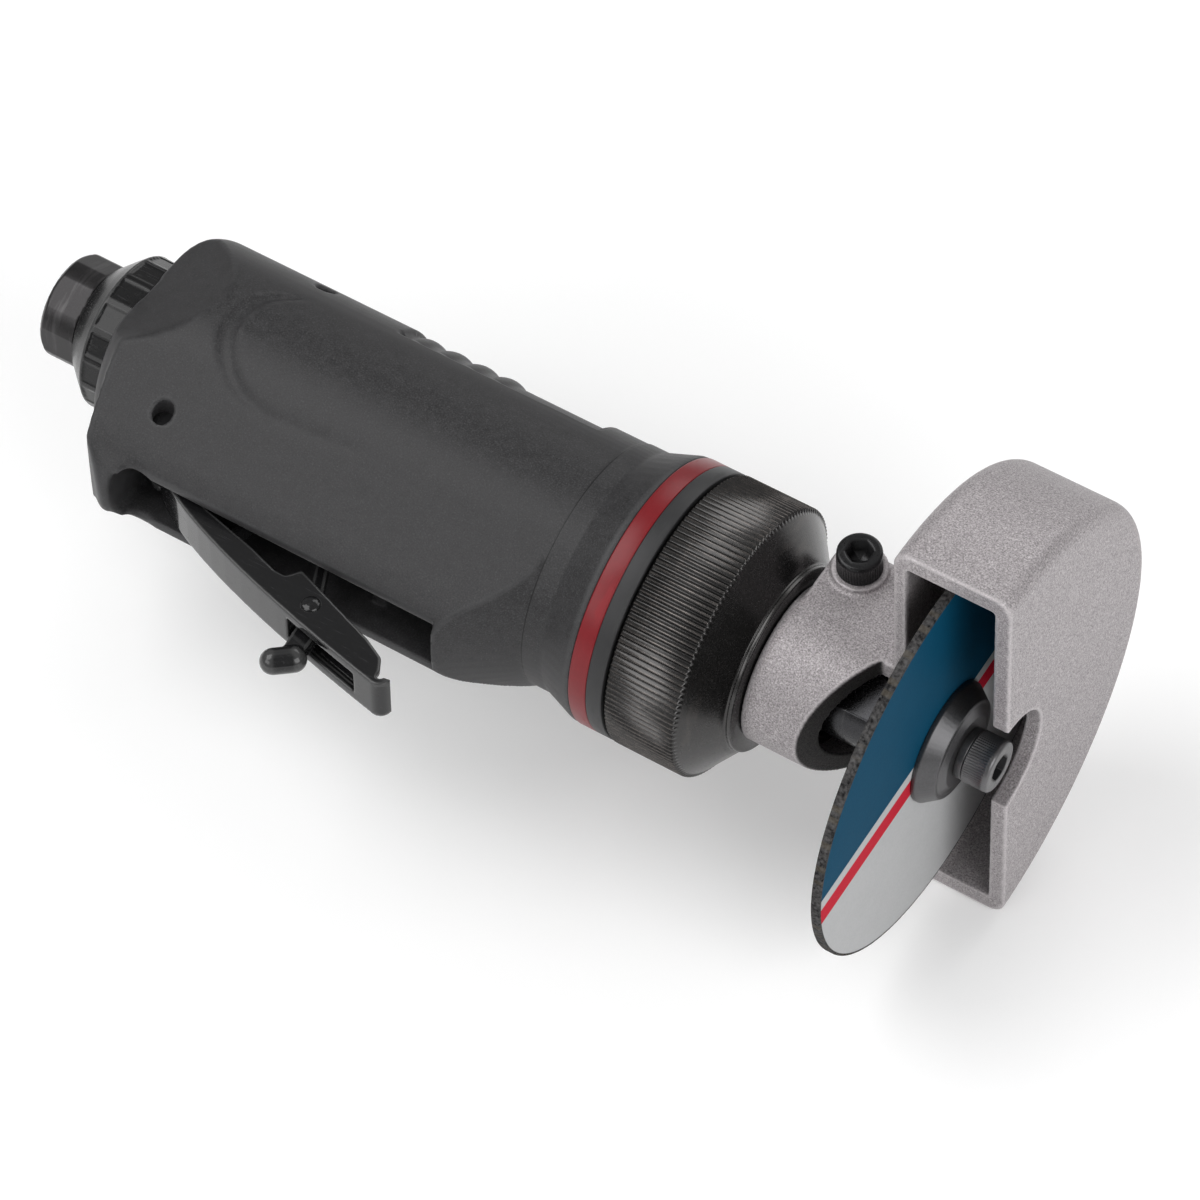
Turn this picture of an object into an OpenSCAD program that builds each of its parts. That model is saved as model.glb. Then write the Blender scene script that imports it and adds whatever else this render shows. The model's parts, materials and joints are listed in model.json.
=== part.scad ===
// Pneumatic cut off tool: in-line air motor, throttle lever, guarded cutting disc.
// +X runs along the tool axis from the air inlet to the disc, +Z is up as the tool lies
// on its side, the lever faces -Y. The origin is the middle of the air inlet's mouth.

/* [Housing] */
// Rear face of the housing, measured from the inlet mouth
rear_x = 17.3; // [16.6:0.1:18]
// Length of the housing from its rear face to its front collar face
housing_l = 96.05; // [92:0.05:100]
// Radius of the round grip
body_r = 21.2; // [20.6:0.1:22.2]
// Rounding of the grip's rear edge, as a share of the grip's radius
rear_round_share = 0.283; // [0.2:0.001:0.3]
// Drop of the keel's nose below the tool axis, as a share of the grip's radius
keel_drop_share = 0.849; // [0.8:0.001:0.9]
// Radius of the keel's nose, as a share of the grip's radius
keel_r_share = 0.5425; // [0.5:0.0005:0.59]
// How far the rear hook reaches past the keel's nose
hook_reach = 2.5; // [1:0.1:3]
// How far the front collar stands out from the grip
collar_rise = 2.2; // [1.6:0.1:2.8]
// Length of the front collar's flare
flare_l = 6.5; // [4:0.1:8]
// Step from the grip's radius in to the spigot that carries the front rings and the nose nut
spigot_step = 0.7; // [0.4:0.1:1.2]
// Length of that spigot
spigot_l = 14.65; // [14:0.05:16]
// Depth of the finger-rib panel on the spine
panel_depth = 1; // [0.4:0.1:1.5]
// Length of the finger-rib panel, as a share of the housing
panel_l_share = 0.3956; // [0.36:0.001:0.42]
// Number of finger ribs
rib_count = 4; // [2:1:6]
// Pitch of the finger ribs
rib_pitch = 5.1; // [4.6:0.1:5.6]
// Depth of the groove round the side tongue
groove_depth = 0.6; // [0.2:0.1:1]

/* [Lever channel] */
// Width of the lever channel
channel_w = 10.4; // [10.2:0.1:10.8]
// How far the channel's floor at the pivot lies inside the motor chamber's radius
valve_floor_in = 1.5; // [1.2:0.1:2]
// Wall between the motor chamber and the channel's floor
floor_wall = 2.6; // [2.4:0.1:3.2]
// Height of the channel walls' edges above the keel's lowest line
edge_up = 2.2; // [1.5:0.1:2.9]
// Length of the heel between the channel and the parting line
heel_l = 12.25; // [11:0.05:13]

/* [Throttle] */
// Distance from the housing's rear face to the lever's pivot
pivot_back = 16.3; // [15.8:0.1:17]
// Depth of the lever's pivot below the channel's floor
pivot_below = 3.8; // [3.7:0.1:4.3]
// Radius of the lever's pivot pin
pivot_r = 1.8; // [1.5:0.05:2]
// Width of the lever over its flanges
lever_w = 8.4; // [8:0.1:8.6]
// Sheet thickness of the lever
lever_t = 1.3; // [1:0.1:1.5]
// Distance from the lever's front end to the channel's end
lever_short = 2.8; // [2.4:0.1:4]
// Depth of the lever's front end below its pivot
lever_drop = 21.95; // [21.4:0.05:22.6]
// Radius of the valve stem
stem_r = 1.6; // [1.2:0.1:2]
// Distance from the lever's pivot to the valve, as a share of the lever
valve_share = 0.3333; // [0.31:0.001:0.36]
// Radius of the valve chamber
valve_r = 5.2; // [4.6:0.1:5.6]
// Radius of the latch's pin
latch_pin_r = 1.25; // [1:0.05:1.4]
// Length of the latch's inner arm
latch_arm = 12.5; // [11:0.1:12.8]
// Radius of the latch's paddle
paddle_r = 2.2; // [1.8:0.1:2.4]

/* [Air inlet] */
// Radius of the inlet bush
inlet_r = 9.2; // [9:0.1:9.6]
// Length of the inlet bush's head
inlet_head_l = 7; // [6:0.1:8]
// Width over the inlet bush's flats
inlet_flats = 17.5; // [17:0.1:18]
// Radius of the inlet's threaded wall
inlet_bore_r = 5.72; // [5.2:0.01:5.9]
// Length of the inlet's thread
inlet_bore_l = 11; // [9:0.1:12]
// Radius of the neck that the exhaust ring turns on
neck_r = 8; // [7.8:0.05:8.3]
// Outer radius of the exhaust ring, as a share of the grip's radius
exhaust_share = 0.6462; // [0.62:0.001:0.66]
// Number of flats on the exhaust ring
exhaust_flats = 16; // [12:1:20]

/* [Nose] */
// Width of the red ring
accent_w = 3.25; // [2.5:0.05:4]
// Width of the dark ring
spacer_w = 2.9; // [2:0.05:3.5]
// How far both rings stand out from the collar
ring_rise = 0.1; // [0:0.05:0.4]
// How far the nut's knurl stands out from the collar
nut_rise = 0.2; // [0:0.05:0.6]
// Length of the nut's knurl
knurl_l = 12.7; // [11.5:0.1:14]
// Number of knurl ridges
knurl_count = 136; // [96:4:160]
// Length of the nut's cone
cone_l = 3.9; // [3:0.1:5]
// Radius of the cone's front end, as a share of the nut
cone_share = 0.6864; // [0.64:0.001:0.72]
// Radius of the nose that the guard clamps on
nose_r = 9.6; // [9.3:0.05:9.9]

/* [Motor] */
// Wall of the grip round the motor chamber
chamber_wall = 4.2; // [4:0.1:4.6]
// Wall between the valve and the motor chamber
valve_wall = 9; // [7:0.1:10]
// Wall of the liner outside its bore, where the bore is centred
liner_wall = 2.6; // [2.2:0.1:2.8]
// Offset of the liner's bore from the tool axis
liner_offset = 1.3; // [1:0.1:1.3]
// Gap between the rotor and the liner where they come closest
rotor_gap = 0.3; // [0.3:0.05:0.9]
// Number of vanes
vane_count = 5; // [4:1:6]
// Thickness of a vane
vane_t = 1.6; // [1.2:0.1:2]
// Outer radius of the rear bearing, as a share of the motor chamber
rear_brg_share = 0.5588; // [0.53:0.001:0.59]
// Bore radius of the rear bearing, as a share of the motor chamber
rear_brg_bore_share = 0.17647; // [0.16:0.001:0.2]
// Width of the rear bearing, as a share of the motor chamber
rear_brg_w_share = 0.35294; // [0.32:0.001:0.37]
// Outer radius of the front bearing, as a share of the motor chamber
front_brg_share = 0.647; // [0.62:0.001:0.68]
// Bore radius of the front bearing, as a share of the motor chamber
front_brg_bore_share = 0.23529; // [0.22:0.001:0.26]
// Width of the front bearing, as a share of the motor chamber
front_brg_w_share = 0.41176; // [0.38:0.001:0.44]
// Number of balls in a bearing
ball_count = 7; // [6:1:8]

/* [Disc] */
// Distance from the nut's front face to the back of the inner flange
spindle_reach = 24.6; // [24:0.1:26]
// Radius of the spindle
spindle_r = 7.2; // [6.8:0.1:7.5]
// Width over the spindle's wrench flats
spindle_flats = 12.4; // [11.5:0.1:13]
// Radius of the cutting disc
disc_r = 37.5; // [36:0.1:38]
// Thickness of the cutting disc
disc_t = 1.6; // [1:0.1:2]
// Radius of the pilot that centres the disc
pilot_r = 4.75; // [4.5:0.05:5]
// Radius of both flanges
flange_r = 10.5; // [9.8:0.1:11]
// Thickness of the inner flange
inner_flange_t = 3; // [2.5:0.1:3.4]
// Thickness of the outer flange
outer_flange_t = 4; // [3.5:0.1:4.4]
// Radius of the disc bolt's thread
bolt_r = 2.5; // [2.2:0.05:2.8]
// Radius of the disc bolt's head
bolt_head_r = 4.45; // [4.2:0.05:4.8]
// Height of the disc bolt's head
bolt_head_l = 4.6; // [4:0.1:5]

/* [Guard] */
// Space between the disc's edge and the hood's rim
disc_clear = 3.5; // [2.8:0.1:4.5]
// Width of the hood over both plates
hood_w = 20.4; // [19.8:0.1:21.4]
// Thickness of the hood's rim
rim_t = 3.5; // [3:0.1:4]
// Thickness of the hood's rear plate
rear_plate_t = 2.3; // [2:0.1:2.8]
// Thickness of the hood's front plate
front_plate_t = 2.9; // [2.4:0.1:3.3]
// Radius of the bolt notch in the front plate
notch_r = 10.6; // [10:0.1:12]
// Outer radius of the clamp collar
clamp_r = 13.6; // [13:0.1:14.5]
// Length of the clamp collar
clamp_l = 11.9; // [11.4:0.1:12.4]
// Length of the half collar between the clamp and the hood
arm_l = 7.9; // [7:0.1:8.6]
// Turn of the guard about the tool axis at rest
guard_lean = 5; // [-20:1:20]
// How far the hood sits off the tool axis towards its upper end
hood_lift = 0.9; // [0:0.1:1.2]
// Radius of the clamp screw's thread
screw_r = 2.5; // [2:0.05:2.6]
// Radius of the clamp screw's head
screw_head_r = 3.7; // [3.5:0.1:4]
// Height of the clamp screw's head
screw_head_l = 4.4; // [4:0.1:5.2]

/* [Hidden] */
$fn = 64;

// Clearances
overrun = 1;
run_gap = 0.05;
press_gap = 0.01;
seat_gap = 0.1;
body_gap = 0.3;

// Stations along the tool axis
front_x = rear_x + housing_l;
spigot_x = front_x + spigot_l;
nut_gap = 0.4;
nut_x = front_x + accent_w + spacer_w + nut_gap;
nut_land = 0.2;
nut_face_x = spigot_x + nut_land;
knurl_x = nut_x + knurl_l;
nut_edge_l = 1.4;
cone_x = knurl_x + nut_edge_l;
nut_boss_l = 0.9;
nut_front_x = cone_x + cone_l + nut_boss_l;
clamp_x = nut_front_x + body_gap;
arm_x = clamp_x + clamp_l;
hood_x = arm_x + arm_l;
hood_front_x = hood_x + hood_w;
flange_x = nut_front_x + spindle_reach;
disc_x = flange_x + inner_flange_t;
outer_flange_x = disc_x + disc_t;
washer_x = outer_flange_x + outer_flange_t;
washer_t = 1.4;
bolt_head_x = washer_x + washer_t;
bolt_end_x = bolt_head_x + bolt_head_l;

// Grip, keel and hook
rear_round = rear_round_share * body_r;
keel_drop = keel_drop_share * body_r;
keel_r = keel_r_share * body_r;
collar_r = body_r + collar_rise;
spigot_r = body_r - spigot_step;
chamber_r = body_r - chamber_wall;
flank_a = asin((body_r - keel_r) / keel_drop);
keel_bottom = keel_drop + keel_r;
hook_bottom = keel_bottom + hook_reach;
hook_r_share = 0.6;
hook_r = hook_r_share * keel_r;
flare_x = front_x - flare_l;
collar_land = 0.9;
parting_back = 3.6;
parting_x = flare_x - parting_back;
parting_step = 0.15;
channel_back = 12.3;
channel_x = rear_x + channel_back;
channel_end_x = parting_x - heel_l;
channel_top = chamber_r - valve_floor_in;
channel_floor = chamber_r + floor_wall;
channel_edge = keel_bottom - edge_up;
hook_lip_l = 2;
hook_lip_x = channel_x + hook_lip_l;
hook_flat_l = 2.6;
hook_back_l = 4.2;
hook_back_share = 1.179;
hook_back = hook_back_share * body_r;
heel_share = 0.64;
rear_dome_r_shares = [0.825, 0.92, 1.04, 1.27, 1.7];
rear_dome_x_shares = [0.033, 0.118, 0.193, 0.27, 0.41];
facet_l = 14.9;
facet_x = rear_x + facet_l;
facet_slope_share = 0.47;
facet_turn = 20;
facet_drop = 5;

// Finger ribs and side tongue
panel_start_share = 0.429;
panel_x = rear_x + panel_start_share * housing_l;
panel_l = panel_l_share * housing_l;
panel_half_a = 57;
rib_r = 2.5;
rib_first = 3.2;
rib_drop = 0.3;
rib_half_a = 53;
tongue_back = 17.4;
tongue_x = rear_x + tongue_back;
tongue_l_share = 0.6247;
tongue_l = tongue_l_share * housing_l;
tongue_top_share = 0.453;
tongue_top = tongue_top_share * body_r;
tongue_low_share = 0.66;
tongue_low = tongue_low_share * body_r;
tongue_taper = 4;
tongue_w = 3;
tongue_low_w = 1;
tongue_nose_share = 0.26;

// Housing passages
exhaust_r = exhaust_share * body_r;
recess_gap = 0.5;
recess_r = exhaust_r + recess_gap;
recess_depth = 2;
recess_x = rear_x + recess_depth;
air_passage_r = 3;
feed_r = 2;
feed_y = 6;
vent_r = 1.8;
vent_angles = [62, 100, -62, -100];
pivot_x = rear_x + pivot_back;
pivot_drop = channel_top + pivot_below;
pivot_sink = 1;
pivot_pin_l = 2 * (keel_r - pivot_sink);
lever_l = channel_end_x - lever_short - pivot_x;
valve_ahead = valve_share * lever_l;
valve_x = pivot_x + valve_ahead;
chamber_x = valve_x + valve_r + valve_wall;
floor_step_share = 0.4;
floor_step_x = valve_x + valve_r + floor_step_share * valve_wall;
stop_rib_share = 0.758;
stop_rib_x = pivot_x + stop_rib_share * lever_l;
stop_rib_t = 2.4;
stop_rib_h = 2;
spine_hole_back = 25;
spine_hole_x = rear_x + spine_hole_back;
spine_hole_a = 47;
spine_hole_r = 1.8;
spine_hole_depth = 6;

// Air inlet and exhaust
neck_end_x = recess_x;
thread_r = 7;
thread_l = 10.5;
vent_out = 0.4;
vent_ring_r = (thread_r + recess_r) / 2 + vent_out;
inlet_passage_r = 3.2;
inlet_chamfer = 0.8;
screen_r = 5;
screen_t = 0.8;
screen_holes = 6;
screen_hole_r = 0.9;
screen_ring_share = 0.58;
o_ring_r = 0.7;
exhaust_back_x = inlet_head_l + body_gap;
exhaust_lip = 1.6;
exhaust_lip_r = neck_r + exhaust_lip;
exhaust_nose_l = 4.6;
exhaust_mid_share = 0.62;
exhaust_rise_share = 0.634;
exhaust_mid_r = exhaust_lip_r + exhaust_rise_share * (exhaust_r - exhaust_lip_r);
exhaust_wall = 1.3;
exhaust_web = 2.4;
exhaust_shoulder_x = exhaust_back_x + exhaust_nose_l;
exhaust_cup_x = exhaust_shoulder_x + exhaust_wall / 2;
exhaust_flat_depth = 0.3;
exhaust_flat_share = 0.78;
exhaust_slots = 5;
exhaust_slot_w = 2;
felt_gap = 0.4;

// Rings and nut
ring_r = collar_r + ring_rise;
nut_r = collar_r + nut_rise;
cone_r = cone_share * nut_r;
knurl_depth_share = 0.016;
shoulder_r = nut_r * (1 - 2 * knurl_depth_share);
cone_a = atan2(shoulder_r - cone_r, cone_l);
nut_round_r = nut_edge_l / tan(cone_a / 2);

// Motor
gasket_t = 0.5;
gasket_w = 4;
gasket_in_r = chamber_r - gasket_w;
plate_gap = 0.05;
rear_brg_r = rear_brg_share * chamber_r;
rear_brg_bore_r = rear_brg_bore_share * chamber_r;
rear_brg_w = rear_brg_w_share * chamber_r;
front_brg_r = front_brg_share * chamber_r;
front_brg_bore_r = front_brg_bore_share * chamber_r;
front_brg_w = front_brg_w_share * chamber_r;
rear_plate_x = chamber_x + gasket_t;
rear_brg_floor = 1;
rear_plate_l = rear_brg_w + rear_brg_floor;
liner_x = rear_plate_x + rear_plate_l;
liner_past = 0.15;
liner_end_x = front_x + liner_past;
liner_l = liner_end_x - liner_x;
liner_bore_r = chamber_r - liner_wall;
rotor_r = liner_bore_r - liner_offset - rotor_gap;
rear_brg_x = rear_plate_x + run_gap;
front_brg_x = nut_face_x - run_gap - front_brg_w;
end_gap = 0.3;
rotor_x = liner_x + end_gap;
rotor_end_x = liner_end_x - end_gap;
stub_gap = 0.8;
stub_clear_r = rear_brg_bore_r + stub_gap;
shaft_step = 1.4;
shaft_collar_r = front_brg_bore_r + shaft_step;
shaft_gap = 0.6;
shaft_clear_r = shaft_collar_r + shaft_gap;
shaft_past_l = 8;
dowel_r = 1;
dowel_wall = 1.4;
dowel_ring_r = chamber_r - dowel_wall;
dowel_in = 3;
port_share = 0.2;
port_w = port_share * liner_l;
port_h = 3;
port_count = 3;
slot_depth_share = 0.469;
slot_depth = slot_depth_share * rotor_r;
vane_gap = 0.2;

// Bearings
ball_share = 0.27;
shoulder_share = 0.45;
cage_share = 0.35;
cage_w_share = 0.62;
ball_gap = 0.03;
pocket_gap = 0.1;

// Spindle and disc stack
spindle_hub_l = 2.6;
bore_past_l = 0.6;
spindle_bore_l = shaft_past_l + bore_past_l;
spindle_clear = 0.8;
flats_back = 12.4;
flats_l = 7.5;
flats_turn = 25;
pilot_short = 0.3;
bolt_hole_l = 14;
bolt_l = 18.6;
flange_rim_t = 0.8;
flange_face_r = 8.6;
flange_relief_r = 6.2;
flange_relief = 0.6;
washer_r = 4.35;
socket_r = 2.3;
socket_depth = 2.6;
nose_short = 1.2;

// Guard
hood_r = disc_r + disc_clear + rim_t;
hood_round_r = 3;
arm_fillet_r = 5.5;
hood_inner_r = hood_r - rim_t;
clamp_bore_r = nose_r + run_gap;
slit_w = 1.4;
slit_z = 3.4;
lug_back = 0.8;
lug_x = clamp_x + lug_back;
lug_l = 10;
lug_out = 18.6;
lug_top = 13.2;
lug_low = 8.4;
lug_round_r = 4.4;
screw_x = lug_x + lug_l / 2;
screw_y = 13.2;
screw_tip = 1;
boss_r = 4.6;
boss_h = 0.8;
screw_socket_r = 2.2;
screw_socket_depth = 2.4;

// Throttle lever
lever_steps = 14;
lever_start_x = 1.4;
lever_start_drop = 4.3;
lever_start = [lever_start_x, -lever_start_drop];
lever_bend_shares = [0.2418, 0.6105];
lever_bend = [lever_bend_shares[0] * lever_l, -lever_bend_shares[1] * lever_drop];
ear_r = 3.2;
flange_shares = [[0.0586, 0.0273], [0.0989, 0.2005], [0.2454, 0.3326], [0.4341, 0.4465], [0.533, 0.5239],
    [0.5733, 0.533], [0.6044, 0.4237], [0.6465, 0.4601], [0.9066, 0.6879], [0.9762, 0.7745], [1, 0.8793]];
flange_top = [for (p = flange_shares) [p[0] * lever_l, -p[1] * lever_drop]];
curl_r = 2;
curl_a = 105;
slot_start_share = 0.652;
slot_start = slot_start_share * lever_l;
slot_end_share = 0.9267;
slot_end = slot_end_share * lever_l;
slot_w = 4.8;
lever_slot_drop = 9;

// Latch
latch_along_share = 0.6978;
latch_x = pivot_x + latch_along_share * lever_l;
latch_drop_share = 0.6515;
latch_y = -pivot_drop - latch_drop_share * lever_drop;
latch_w = 2.6;
latch_hub_r = 2.5;
latch_arm_a = 25;
latch_arm_t = 2;
paddle_ahead = 1.9;
paddle_drop = 7.9;
paddle_end_back = 0.6;
paddle_end_drop = 10;
paddle_from = [paddle_ahead, -paddle_drop];
paddle_to = [-paddle_end_back, -paddle_end_drop];
latch_pin_head_r = 1.6;
latch_pin_head_l = 0.6;
latch_spring_r = 1.9;
latch_wire_r = 0.2;
latch_turns = 1.25;

// Valve
valve_top = 9.5;
bush_l = 9.5;
valve_head_r = 3.6;
valve_head_t = 2;
valve_ring_r = 2.6;
valve_ring_wire_r = 0.6;
valve_ring_lift = 0.3;
valve_spring_r = 3.4;
valve_wire_r = 0.4;
valve_turns = 6;

// Cylinder along X between two stations
module x_cylinder(x0, x1, r) {
    translate([x0, 0, 0]) rotate([0, 90, 0]) cylinder(h = x1 - x0, r = r);
}

// Profile of [radius, x] points turned about the tool axis
module x_turned(points) {
    rotate([0, 90, 0]) rotate_extrude() polygon(points);
}

// The same over a sector of half_a degrees each side of +Y
module x_sector(points, half_a) {
    rotate([0, 90, 0]) rotate([0, 0, 90 - half_a]) rotate_extrude(angle = 2 * half_a) polygon(points);
}

// Y-Z outline run along X
module along_x(x0, x1) {
    translate([x0, 0, 0]) rotate([90, 0, 90]) linear_extrude(x1 - x0) children();
}

// X-Y outline run along Z, centred on the mould seam
module along_z(w) {
    translate([0, 0, -w / 2]) linear_extrude(w) children();
}

// Cylinder along Z, centred on the mould seam
module z_cylinder(x, y, w, r) {
    translate([x, y, -w / 2]) cylinder(h = w, r = r);
}

// Cylinder along Y at a valve station
module y_cylinder(x, y0, y1, r) {
    translate([x, y0, 0]) rotate([-90, 0, 0]) cylinder(h = y1 - y0, r = r);
}

// Ring of round section about the tool axis
module x_ring(x, ring_radius, wire) {
    translate([x, 0, 0]) rotate([0, 90, 0]) rotate_extrude() translate([ring_radius, 0]) circle(wire);
}

// Arc of points about a centre
function arc(centre, r, a0, a1, steps) =
    [for (i = [0:steps]) let (a = a0 + (a1 - a0) * i / steps) centre + r * [cos(a), sin(a)]];

// Six-sided tube along a helix about Z, as points and faces
helix_rings = 12;
helix_sides = 6;
module helix(ring_radius, wire, height, turns) {
    n = turns * helix_rings;
    points = [for (i = [0:n], j = [0:helix_sides - 1])
        let (a = 360 * i / helix_rings, b = 360 * j / helix_sides)
        [(ring_radius + wire * cos(b)) * cos(a), (ring_radius + wire * cos(b)) * sin(a),
            wire * sin(b) + wire + (height - 2 * wire) * i / n]];
    sides = [for (i = [0:n - 1], j = [0:helix_sides - 1])
        let (k = (j + 1) % helix_sides, p = i * helix_sides)
        [p + j, p + k, p + helix_sides + k, p + helix_sides + j]];
    first = [for (j = [helix_sides - 1:-1:0]) j];
    last = [for (j = [0:helix_sides - 1]) n * helix_sides + j];
    tris = [for (f = sides) each [[f[0], f[2], f[1]], [f[0], f[3], f[2]]]];
    caps = [for (j = [1:helix_sides - 2]) each [[first[helix_sides - 1], j, j + 1],
        [last[0], last[j + 1], last[j]]]];
    polyhedron(points, concat(tris, caps));
}

// Grip section: round body, keel nose and the flanks tangent to both, shrunk by inset
module keel_section(drop, inset) {
    big = body_r - inset;
    small = keel_r - inset;
    translate([-drop, 0]) circle(small);
    polygon([[-big * sin(flank_a), big * cos(flank_a)], [-drop - small * sin(flank_a), small * cos(flank_a)],
        [-drop - small * sin(flank_a), -small * cos(flank_a)], [-big * sin(flank_a), -big * cos(flank_a)]]);
}

// Round part of the grip with its rounded rear edge and flared front collar
module grip_round() {
    x_turned(concat(
        [[0, rear_x], [body_r - rear_round, rear_x]],
        arc([body_r - rear_round, rear_x + rear_round], rear_round, -90, 0, lever_steps),
        [[body_r, parting_x], [body_r + parting_step, parting_x], [body_r + parting_step, flare_x],
            [collar_r, front_x - collar_land], [collar_r, front_x], [spigot_r, front_x],
            [spigot_r, spigot_x], [0, spigot_x]]));
}

// Keel seen from the side: closed rear end, flat channel edges and full depth at the heel
module keel_side() {
    polygon([[rear_x, 0], [rear_x, -hook_back], [rear_x + hook_back_l, -hook_back],
        [hook_lip_x - hook_flat_l, -hook_bottom], [hook_lip_x, -hook_bottom], [hook_lip_x, -channel_edge],
        [channel_end_x, -channel_edge], [channel_end_x, -keel_bottom - overrun],
        [flare_x, -keel_bottom - overrun], [flare_x, 0]]);
}

module hook_side() {
    polygon([[rear_x, 0], [rear_x, -hook_back], [rear_x + hook_back_l, -hook_back],
        [hook_lip_x - hook_flat_l, -hook_bottom], [hook_lip_x - hook_reach / 2, -hook_bottom],
        [hook_lip_x, -hook_bottom + hook_reach / 2], [hook_lip_x, 0]]);
}

// Domed rear end and the heel's cone, which both run round the tool axis and close the keel
module keel_ends() {
    far_r = body_r * rear_dome_r_shares[4];
    x_turned(concat(
        [[0, rear_x], [recess_r, rear_x]],
        [for (i = [0:4]) [body_r * rear_dome_r_shares[i], rear_x + body_r * rear_dome_x_shares[i]]],
        [[far_r, parting_x - (far_r - body_r) / heel_share], [body_r, parting_x], [0, parting_x]]));
}

module keel() {
    intersection() {
        union() {
            intersection() {
                along_x(rear_x, flare_x) keel_section(keel_drop, 0);
                along_z(2 * body_r) keel_side();
            }
            intersection() {
                along_x(rear_x, hook_lip_x) translate([hook_r - hook_bottom, 0]) circle(hook_r);
                along_z(2 * body_r) hook_side();
            }
        }
        keel_ends();
    }
}

// Flat facet that thins the rear end on each side and runs out towards the keel
module rear_facet() {
    intersection() {
        facet_wedge();
        translate([0, 0, -facet_drop]) rotate([-facet_turn, 0, 0]) facet_wedge();
    }
}

module facet_wedge() {
    rise = facet_slope_share * (facet_x - rear_x + overrun);
    rotate([90, 0, 0]) translate([0, 0, -2 * body_r]) linear_extrude(4 * body_r)
        polygon([[rear_x - overrun, body_r - rise], [facet_x, body_r], [facet_x, 2 * body_r],
            [rear_x - overrun, 2 * body_r]]);
}

// Outline of the side tongue: round nose, level upper edge, lower edge that closes in towards the
// front. nose_in and low_in draw in its nose and its lower edge.
module tongue_outline(nose_in, low_in) {
    half = (tongue_top + tongue_low - low_in) / 2;
    mid = (tongue_top - tongue_low + low_in) / 2;
    nose = tongue_nose_share * tongue_l - nose_in;
    centre_x = tongue_x + tongue_nose_share * tongue_l;
    close = tongue_taper - low_in;
    polygon(concat(
        [for (i = [0:lever_steps]) let (a = 90 + 180 * i / lever_steps)
            [centre_x + nose * cos(a), mid + half * sin(a)]],
        [[tongue_x + tongue_l, mid - half + close], [tongue_x + tongue_l, mid + half]]));
}

// Groove that is widest round the tongue's nose and runs out along its edges
module tongue_groove() {
    difference() {
        linear_extrude(body_r + overrun) difference() {
            tongue_outline(0, 0);
            tongue_outline(tongue_w, tongue_low_w);
            translate([tongue_x + tongue_l - overrun, -body_r]) square([2 * overrun, 2 * body_r]);
        }
        x_cylinder(rear_x, front_x, body_r - groove_depth);
        along_x(rear_x, front_x) keel_section(keel_drop, groove_depth);
    }
}

// Recessed panel on the spine, with its finger ribs left standing
module rib_panel() {
    floor_r = body_r - panel_depth;
    difference() {
        x_sector([[floor_r, panel_x], [body_r + overrun, panel_x], [body_r + overrun, panel_x + panel_l],
            [floor_r, panel_x + panel_l]], panel_half_a);
        for (i = [0:rib_count - 1])
            x_ring(panel_x + rib_first + i * rib_pitch, body_r - rib_r - rib_drop, rib_r);
    }
}

module lever_channel() {
    along_z(channel_w) polygon([[channel_x, -channel_top], [channel_x, -channel_edge],
        [hook_lip_x - hook_reach / 2, -hook_bottom - overrun], [channel_end_x, -hook_bottom - overrun],
        [channel_end_x, -channel_floor], [floor_step_x, -channel_floor], [floor_step_x, -channel_top]]);
}

module housing_bores() {
    x_cylinder(rear_x - overrun, recess_x, recess_r);
    x_cylinder(recess_x - overrun, recess_x + thread_l, thread_r + seat_gap);
    x_cylinder(recess_x, valve_x, air_passage_r);
    translate([0, feed_y, 0]) x_cylinder(valve_x, chamber_x + overrun, feed_r);
    for (a = vent_angles)
        rotate([a, 0, 0]) translate([0, vent_ring_r, 0]) x_cylinder(recess_x - overrun, chamber_x + overrun, vent_r);
    x_cylinder(chamber_x, spigot_x + overrun, chamber_r);
    y_cylinder(valve_x, -channel_top - overrun, valve_top, valve_r);
    z_cylinder(pivot_x, -pivot_drop, 2 * body_r, pivot_r + press_gap);
    rotate([spine_hole_a, 0, 0]) y_cylinder(spine_hole_x, body_r - spine_hole_depth, body_r + overrun, spine_hole_r);
}

module housing() color("dimgray") {
    difference() {
        union() {
            grip_round();
            keel();
        }
        for (side = [0, 1]) mirror([0, 0, side]) {
            rear_facet();
            tongue_groove();
        }
        rib_panel();
        lever_channel();
        housing_bores();
    }
    translate([stop_rib_x, -channel_floor - stop_rib_h, -channel_w / 2])
        cube([stop_rib_t, stop_rib_h + run_gap, channel_w]);
}

module air_inlet() color("slategray") difference() {
    union() {
        intersection() {
            x_turned([[0, 0], [inlet_r - inlet_chamfer, 0], [inlet_r, inlet_chamfer], [inlet_r, inlet_head_l],
                [0, inlet_head_l]]);
            translate([-overrun, 0, 0]) rotate([0, 90, 0])
                cylinder(h = inlet_head_l + 2 * overrun, r = inlet_flats / 2 / cos(30), $fn = 6);
        }
        x_cylinder(0, neck_end_x, neck_r);
        x_cylinder(0, neck_end_x + thread_l, thread_r);
    }
    x_cylinder(-overrun, inlet_bore_l, inlet_bore_r);
    x_cylinder(0, inlet_bore_l + screen_t, screen_r);
    x_cylinder(0, neck_end_x + thread_l + overrun, inlet_passage_r);
    x_ring(neck_end_x + thread_l / 2, thread_r, o_ring_r + seat_gap);
}

module inlet_screen() color("silver") difference() {
    x_cylinder(inlet_bore_l, inlet_bore_l + screen_t, screen_r - press_gap);
    for (i = [0:screen_holes - 1])
        rotate([360 * i / screen_holes, 0, 0]) translate([0, screen_ring_share * screen_r, 0])
            x_cylinder(0, inlet_bore_l + screen_t + overrun, screen_hole_r);
    x_cylinder(0, inlet_bore_l + screen_t + overrun, screen_hole_r);
}

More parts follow.
